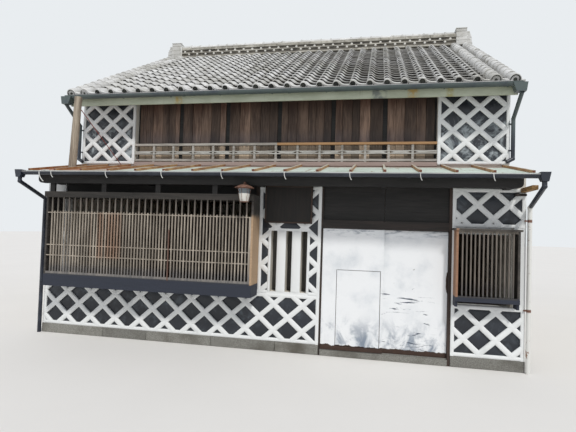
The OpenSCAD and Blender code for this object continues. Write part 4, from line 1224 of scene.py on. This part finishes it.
def half_band(r, h, x0, x1, y, z, thick=0.0025):
    """Thin strap of sheet wrapped under a half-round gutter."""
    outer = [(r, 0.0)] + [(u, r - h - v) for u, v in arc(r, 12, math.pi)] + [(-r, 0.0)]
    inner = [(u * (1 - thick / r), v * (1 - thick / h)) for u, v in outer][::-1]
    return [[(x, y + u, z + v) for u, v in outer + inner] for x in (x0, x1)]


def make_pole():
    """The leaning pole, uneven and with a drying check down its side, and its stay."""
    foot = Vector((-3.3852, 0, pent_top(0) + 0.0003))
    head = Vector((-3.3252, 0, 3.990))
    rings, sides = 15, 20
    rng = random.Random(6)
    s = Shape()
    skin = []
    for i in range(rings):
        t = i / (rings - 1)
        c = foot.lerp(head, t)
        ring = []
        for j in range(sides):
            w = 2 * math.pi * j / sides
            r = 0.062 * (1 - 0.05 * t) + 0.0035 * math.sin(3 * w + 1.0) + rng.uniform(-0.0015, 0.0015)
            if j in (5, 6):
                r -= 0.007
            z = pent_top(math.sin(w) * r) + 0.0005 if i == 0 else c.z
            ring.append((c.x + math.cos(w) * r, c.y + math.sin(w) * r, z))
        skin.append(ring)
    s.sweep(skin)
    ride(s.build("leaning_pole", M["pole_wood"]), replaces=("pole",))
    s = Shape()
    top = Vector((-3.3002, 0.02, 3.800))
    end_y = UP_BAR - 0.030
    end = Vector((-2.880, end_y, pent_top(end_y) + 0.007))
    s.tube([top.lerp(end, i / 10) for i in range(11)], 0.007, 10)
    s.lathe([(TIP, 0), (0.020, 0), (0.020, 0.004), (0.009, 0.012), (TIP, 0.012)],
            (end.x, end.y, end.z - 0.006), Matrix.Rotation(PENT_PITCH, 3, "X"), 12)
    ride(s.build("pole_stay", M["stay"]))


# Sheet metal

def make_sheet():
    dress(M["sheet"], "street_roof")
    dress(M["seam"], "roof_battens")
    dress(M["edge"], "street_fascia")
    dress(M["fascia"], "fascias")
    dress(M["gutter"], "street_gutter", "upper_gutters", "rain_pipes")
    # rolled rims, painted pale as the gutters' highlight, with socket straps at
    # the joints of the two street gutters
    # (middle, top, radius, height, half length, which way it faces)
    gutters = ((-0.7163, 2.613, 0.042, 0.050, 3.684, "street"),
               (0.2559, 4.097, 0.052, 0.062, 3.622, "street"),
               (0.2559, 4.097, 0.052, 0.062, 3.622, "back"))
    s, j = Shape(), Shape()
    for y, z, r, h, half, side in gutters:
        back = side == "back"
        rim_y = 2 * RIDGE_Y - (y - r + 0.0052) if back else y - r - 0.001
        s.tube([(-half + i * half / 6, rim_y, z + 0.001) for i in range(13)], 0.005, 8)
        for x in () if back else (-1.52, 0.3, 2.12):
            j.sweep(half_band(r + 0.0028, h + 0.0028, x - 0.022, x + 0.022, y, z - 0.004))
    ride(s.build("gutter_rims", M["rim"]))
    ride(j.build("gutter_sockets", M["gutter"]))


def make_hangers(sizes):
    """White iron wires that carry the street gutter."""
    step = sizes.hanger_step
    width = 7.25
    count = int(width / step)
    s = Shape()
    s.tube([(0, -0.652, 2.644), (0, -0.690, 2.630), (0, -0.740, 2.624), (0, -0.758, 2.620),
            (0.001, -0.7640, 2.606), (0.003, -0.7640, 2.580), (0.008, -0.760, 2.556), (0.018, -0.752, 2.534),
            (0.026, -0.748, 2.524)], 0.0055, 6)
    field("gutter_hangers", s, M["white_metal"], "lamp_metal", across=count,
          start=(-step * (count - 1) / 2, 0, 0), step=(step, 0, 0), shift=0.002, twist=(0, 0, 0.03), seed=60)
    # one at the foot of the pole has sprung open
    s = Shape()
    s.tube([(-3.300, -0.640, 2.648), (-3.352, -0.690, 2.640), (-3.372, -0.735, 2.626),
            (-3.374, -0.758, 2.604), (-3.366, -0.762, 2.560), (-3.345, -0.760, 2.515),
            (-3.318, -0.756, 2.480), (-3.300, -0.750, 2.462)], 0.007, 8)
    ride(s.build("sprung_hanger", M["white_metal"]))


def make_rafters():
    """Rafters under both eaves."""
    step, count = 0.3033, 25
    s = Shape()
    s.block((-0.022, 0.125, -0.158), (0.022, 0.620, -0.099), 0.003)
    for side, slope in SLOPES.items():
        field(f"rafters_{side}", s, M["lintel_wood"], "brown_timber", across=count,
              start=(-(count - 1) / 2 * step, 0, 0), step=(step, 0, 0), seed=70, **slope)


# Small things

def make_lamp():
    x, y, z = c = (-0.132, -0.600, 2.460)
    wall_y = -0.541
    s = Shape()
    # flat cone with a small knob, open ring under it, and the bottom plate
    s.lathe([(TIP, -0.014), (0.090, -0.040), (0.136, -0.053), (0.140, -0.050), (0.140, -0.046),
             (0.128, -0.036), (0.090, -0.018), (0.052, -0.002), (0.030, 0.006), (0.018, 0.012),
             (0.012, 0.020), (0.014, 0.028), (0.010, 0.036), (TIP, 0.038)], c, sides=32)
    s.lathe([(TIP, -0.062), (0.092, -0.062), (0.094, -0.058), (0.094, -0.048), (0.086, -0.040),
             (TIP, -0.040)], c, sides=32)
    s.tube([(x, y, z + 0.026), (x, y + 0.03, z + 0.027), (x, wall_y, z + 0.026)], 0.008, 10)
    wire = (0.091, -0.062), (0.0855, -0.110), (0.077, -0.160), (0.068, -0.210), (0.062, -0.250)
    for k in range(6):
        a = math.pi * k / 3 + 0.3
        s.tube([(x + r * math.cos(a), y + r * math.sin(a), z + h) for r, h in wire], 0.0024, 6)
    s.lathe([(TIP, -0.252), (0.056, -0.252), (0.063, -0.249), (0.063, -0.243), (TIP, -0.243)], c)
    ride(s.build("lantern_iron", M["rust"]), replaces=("lamp",))
    g = Shape()
    g.lathe([(TIP, -0.130), (0.0805, -0.130), (0.089, -0.062), (TIP, -0.062)], c, sides=32)
    ride(g.build("lantern_clear_glass", M["clear_glass"]))
    g = Shape()
    g.lathe([(TIP, -0.243), (0.055, -0.243), (0.060, -0.238), (0.080, -0.132), (0.078, -0.130),
             (TIP, -0.130)], c, sides=32)
    ride(g.build("lantern_opal_glass", M["opal_glass"]))


def make_plinth():
    """Kerb stones of uneven length with narrow joints."""
    rng = random.Random(2)
    s = Shape()

    def stones(first, last, axis, low, high):
        """A row along an axis; low and high are its two sides across."""
        at = first
        while at < last - 0.01:
            length = rng.uniform(0.75, 1.15)
            if last - (at + length) < 0.5:
                length = last - at
            ends = at + 0.002, at + length - 0.002
            tone = rng.uniform(-0.5, 0.5)
            corners = [(e, side) if axis == 0 else (side, e) for e, side in zip(ends, (low, high))]
            s.block((*corners[0], 0), (*corners[1], 0.150), 0.006, tone)
            at += length

    out = 0.010
    end = X_OUT + out
    for a, b in ((-end, 0.924), (2.775, end)):
        stones(a, b, 0, BAR_F - out, -CORE_F)
    stones(-end, end, 0, BACK_Y - 0.15, BACK_Y + 0.035)
    for sign in (-1, 1):
        stones(0.075, BACK_Y - 0.15, 1, *sorted((sign * end, sign * 3.550)))
    ride(s.build("kerb_stones", M["stone"]), replaces=("plinth",))
    dress(M["stone"], "threshold")
    dress(M["earth"], "ground_floor")


def make_walls():
    dress(M["wall"], "party_wall_left", "party_wall_right", "back_wall", "dado_wall", "window_wall",
          "upper_walls")
    dress(M["plaster"], "front_walls")
    dress(M["door"], "door_left", "door_right", "wicket")
    # the plaster between the window slots swells to a rounded face
    swell, root = 0.013, BAR_F + 0.004
    s = Shape()
    for x, half in ((0.3245, 0.066), (0.5555, 0.066), (0.142, 0.018), (0.738, 0.018)):
        bow = arc(1, 10, math.pi)
        rings = []
        for z, k in ((0.890, 0.2), (0.905, 0.85), (0.930, 1.0), (1.778, 1.0), (1.803, 0.85), (1.818, 0.2)):
            rings.append([(x - half * u, BAR_F - swell * k * v, z) for u, v in bow]
                         + [(x + half, root, z), (x - half, root, z)])
        s.sweep(rings)
    ride(s.build("window_columns", M["plaster"]))


# Stage

def make_stage():
    mesh = bpy.data.meshes.new("studio_floor")
    side, near, far, level = 60, -40, 90, -0.001
    corners = ((-side, near, level), (side, near, level), (side, far, level), (-side, far, level))
    mesh.from_pydata(corners, [], [(0, 1, 2, 3)])
    p = Paint("matt_floor_paint", Roughness=0.9)
    put("studio_floor", mesh, p.show(p.blend(p.noise(0.6, 3), "#dcdad6", "#e2e0dc")), 0)
    make_world()
    # soft key from the upper right of the street side, and a weak fill
    height, turn = math.radians(50), math.radians(28)
    key = (math.sin(turn) * math.cos(height), -math.cos(turn) * math.cos(height), math.sin(height))
    make_sun("key", key, 2.0, angle=math.radians(5), color=(1.0, 0.98, 0.95))
    make_sun("fill", (-0.7, -0.6, 0.35), 0.25, angle=math.radians(60))
    make_camera()
    bpy.context.scene.view_settings.view_transform = "Standard"


def make_world():
    """Even light from all round; the camera sees a plain pale background."""
    world = bpy.data.worlds.new("studio")
    bpy.context.scene.world = world
    world.use_nodes = True
    t = world.node_tree
    t.nodes.clear()
    light = add(t, "ShaderNodeBackground", {"Color": linear("#f2f6ff"), "Strength": 0.62}).outputs[0]
    shown = add(t, "ShaderNodeBackground", {"Color": linear("#e9edf0"), "Strength": 1.0}).outputs[0]
    path = add(t, "ShaderNodeLightPath").outputs
    seen = path["Is Camera Ray"]
    for other in ("Is Glossy Ray", "Is Transmission Ray"):
        seen = add(t, "ShaderNodeMath", {0: seen, 1: path[other]}, operation="MAXIMUM").outputs[0]
    both = add(t, "ShaderNodeMixShader", {0: seen, 1: light, 2: shown}).outputs[0]
    add(t, "ShaderNodeOutputWorld", {0: both})


def make_sun(name, aim, energy, **settings):
    """A sun that shines from aim towards the house."""
    data = bpy.data.lights.new(name, "SUN")
    data.energy = energy
    for k, v in settings.items():
        setattr(data, k, v)
    o = bpy.data.objects.new(name, data)
    bpy.context.scene.collection.objects.link(o)
    o.location = Vector(aim) * 16 + Vector((0, 3, 2))
    o.rotation_euler = (-Vector(aim)).to_track_quat("-Z", "Y").to_euler()


def make_camera():
    """The camera where the photograph was taken, from the least-squares fit."""
    eye = Vector((1.7073, -6.6289, 1.8389))
    yaw, pitch, roll = 0.1956, 0.0303, 0.0312
    level = Vector((math.cos(yaw), math.sin(yaw), 0))
    ahead = Vector((-math.sin(yaw), math.cos(yaw), 0))
    view = ahead * math.cos(pitch) + Vector((0, 0, 1)) * math.sin(pitch)
    above = -ahead * math.sin(pitch) + Vector((0, 0, 1)) * math.cos(pitch)
    right = level * math.cos(roll) + above * math.sin(roll)
    up = -level * math.sin(roll) + above * math.cos(roll)
    data = bpy.data.cameras.new("camera")
    data.lens, data.sensor_width = 27.53, 36.0
    data.clip_end = 200
    cam = bpy.data.objects.new("camera", data)
    bpy.context.scene.collection.objects.link(cam)
    cam.matrix_world = Matrix.Translation(eye) @ Matrix((right, up, -view)).transposed().to_4x4()
    bpy.context.scene.camera = cam


# Operators and panel

class MACHIYA_OT_finishes(bpy.types.Operator):
    """Makes the materials of the house"""
    bl_idname = "machiya.finishes"
    bl_label = "Finishes"

    def execute(self, context):
        make_finishes(context.scene.machiya_colours)
        return {"FINISHED"}


class MACHIYA_OT_walls(bpy.types.Operator):
    """Gives walls and doors their plaster and rounds the window columns"""
    bl_idname = "machiya.walls"
    bl_label = "Walls"

    def execute(self, context):
        make_walls()
        return {"FINISHED"}


class MACHIYA_OT_plinth(bpy.types.Operator):
    """Lays the kerb stones and the floors"""
    bl_idname = "machiya.plinth"
    bl_label = "Plinth"

    def execute(self, context):
        make_plinth()
        return {"FINISHED"}


class MACHIYA_OT_lattice(bpy.types.Operator):
    """Crowns the plaster bars and lays the wall tiles"""
    bl_idname = "machiya.lattice"
    bl_label = "Raised lattice"

    def execute(self, context):
        make_lattice(context.scene.machiya_sizes)
        return {"FINISHED"}


class MACHIYA_OT_timber(bpy.types.Operator):
    """Gives bays, posts, rails and beams their wood"""
    bl_idname = "machiya.timber"
    bl_label = "Timber"

    def execute(self, context):
        make_timber()
        return {"FINISHED"}


class MACHIYA_OT_shutters(bpy.types.Operator):
    """Boards the shutters of both fronts"""
    bl_idname = "machiya.shutters"
    bl_label = "Shutters"

    def execute(self, context):
        make_shutters()
        return {"FINISHED"}


class MACHIYA_OT_street_roof(bpy.types.Operator):
    """Gives the street roof, the gutters and the pipes their paint"""
    bl_idname = "machiya.street_roof"
    bl_label = "Street roof"

    def execute(self, context):
        make_sheet()
        return {"FINISHED"}


class MACHIYA_OT_hangers(bpy.types.Operator):
    """Hangs the street gutter on its wires"""
    bl_idname = "machiya.hangers"
    bl_label = "Gutter hangers"

    def execute(self, context):
        make_hangers(context.scene.machiya_sizes)
        return {"FINISHED"}


class MACHIYA_OT_rafters(bpy.types.Operator):
    """Sets the rafters under both eaves"""
    bl_idname = "machiya.rafters"
    bl_label = "Rafters"

    def execute(self, context):
        make_rafters()
        return {"FINISHED"}


class MACHIYA_OT_roof(bpy.types.Operator):
    """Lays the pantiles, eave tiles and verge tiles"""
    bl_idname = "machiya.roof"
    bl_label = "Roof tiles"

    def execute(self, context):
        make_roof(context.scene.machiya_sizes)
        return {"FINISHED"}


class MACHIYA_OT_ridge(bpy.types.Operator):
    """Stacks the ridge with its beads, caps and ends"""
    bl_idname = "machiya.ridge"
    bl_label = "Ridge"

    def execute(self, context):
        make_ridge()
        return {"FINISHED"}


class MACHIYA_OT_lantern(bpy.types.Operator):
    """Hangs the lantern"""
    bl_idname = "machiya.lantern"
    bl_label = "Lantern"

    def execute(self, context):
        make_lamp()
        return {"FINISHED"}


class MACHIYA_OT_pole(bpy.types.Operator):
    """Sets the leaning pole and its stay"""
    bl_idname = "machiya.pole"
    bl_label = "Pole"

    def execute(self, context):
        make_pole()
        return {"FINISHED"}


class MACHIYA_OT_stage(bpy.types.Operator):
    """Floor, lamps, world and camera"""
    bl_idname = "machiya.stage"
    bl_label = "Stage"

    def execute(self, context):
        make_stage()
        return {"FINISHED"}


OPERATORS = [
    MACHIYA_OT_finishes, MACHIYA_OT_walls, MACHIYA_OT_plinth, MACHIYA_OT_lattice, MACHIYA_OT_timber,
    MACHIYA_OT_shutters, MACHIYA_OT_street_roof, MACHIYA_OT_hangers, MACHIYA_OT_rafters, MACHIYA_OT_roof,
    MACHIYA_OT_ridge, MACHIYA_OT_lantern, MACHIYA_OT_pole, MACHIYA_OT_stage,
]


class MACHIYA_PT_panel(bpy.types.Panel):
    bl_label = "Machiya townhouse"
    bl_idname = "MACHIYA_PT_panel"
    bl_space_type = "VIEW_3D"
    bl_region_type = "UI"
    bl_category = "Machiya"

    def draw(self, context):
        column = self.layout.column()
        for group in (context.scene.machiya_sizes, context.scene.machiya_colours):
            for key in group.__annotations__:
                column.prop(group, key)
        for op in OPERATORS:
            column.operator(op.bl_idname)


CLASSES = [MachiyaColours, MachiyaSizes, *OPERATORS, MACHIYA_PT_panel]


def register():
    for c in CLASSES:
        bpy.utils.register_class(c)
    bpy.types.Scene.machiya_colours = bpy.props.PointerProperty(type=MachiyaColours)
    bpy.types.Scene.machiya_sizes = bpy.props.PointerProperty(type=MachiyaSizes)


def unregister():
    del bpy.types.Scene.machiya_sizes
    del bpy.types.Scene.machiya_colours
    for c in reversed(CLASSES):
        bpy.utils.unregister_class(c)


def main():
    register()
    for op in OPERATORS:
        getattr(bpy.ops.machiya, op.bl_idname.split(".")[1])()


if __name__ == "__main__":
    main()
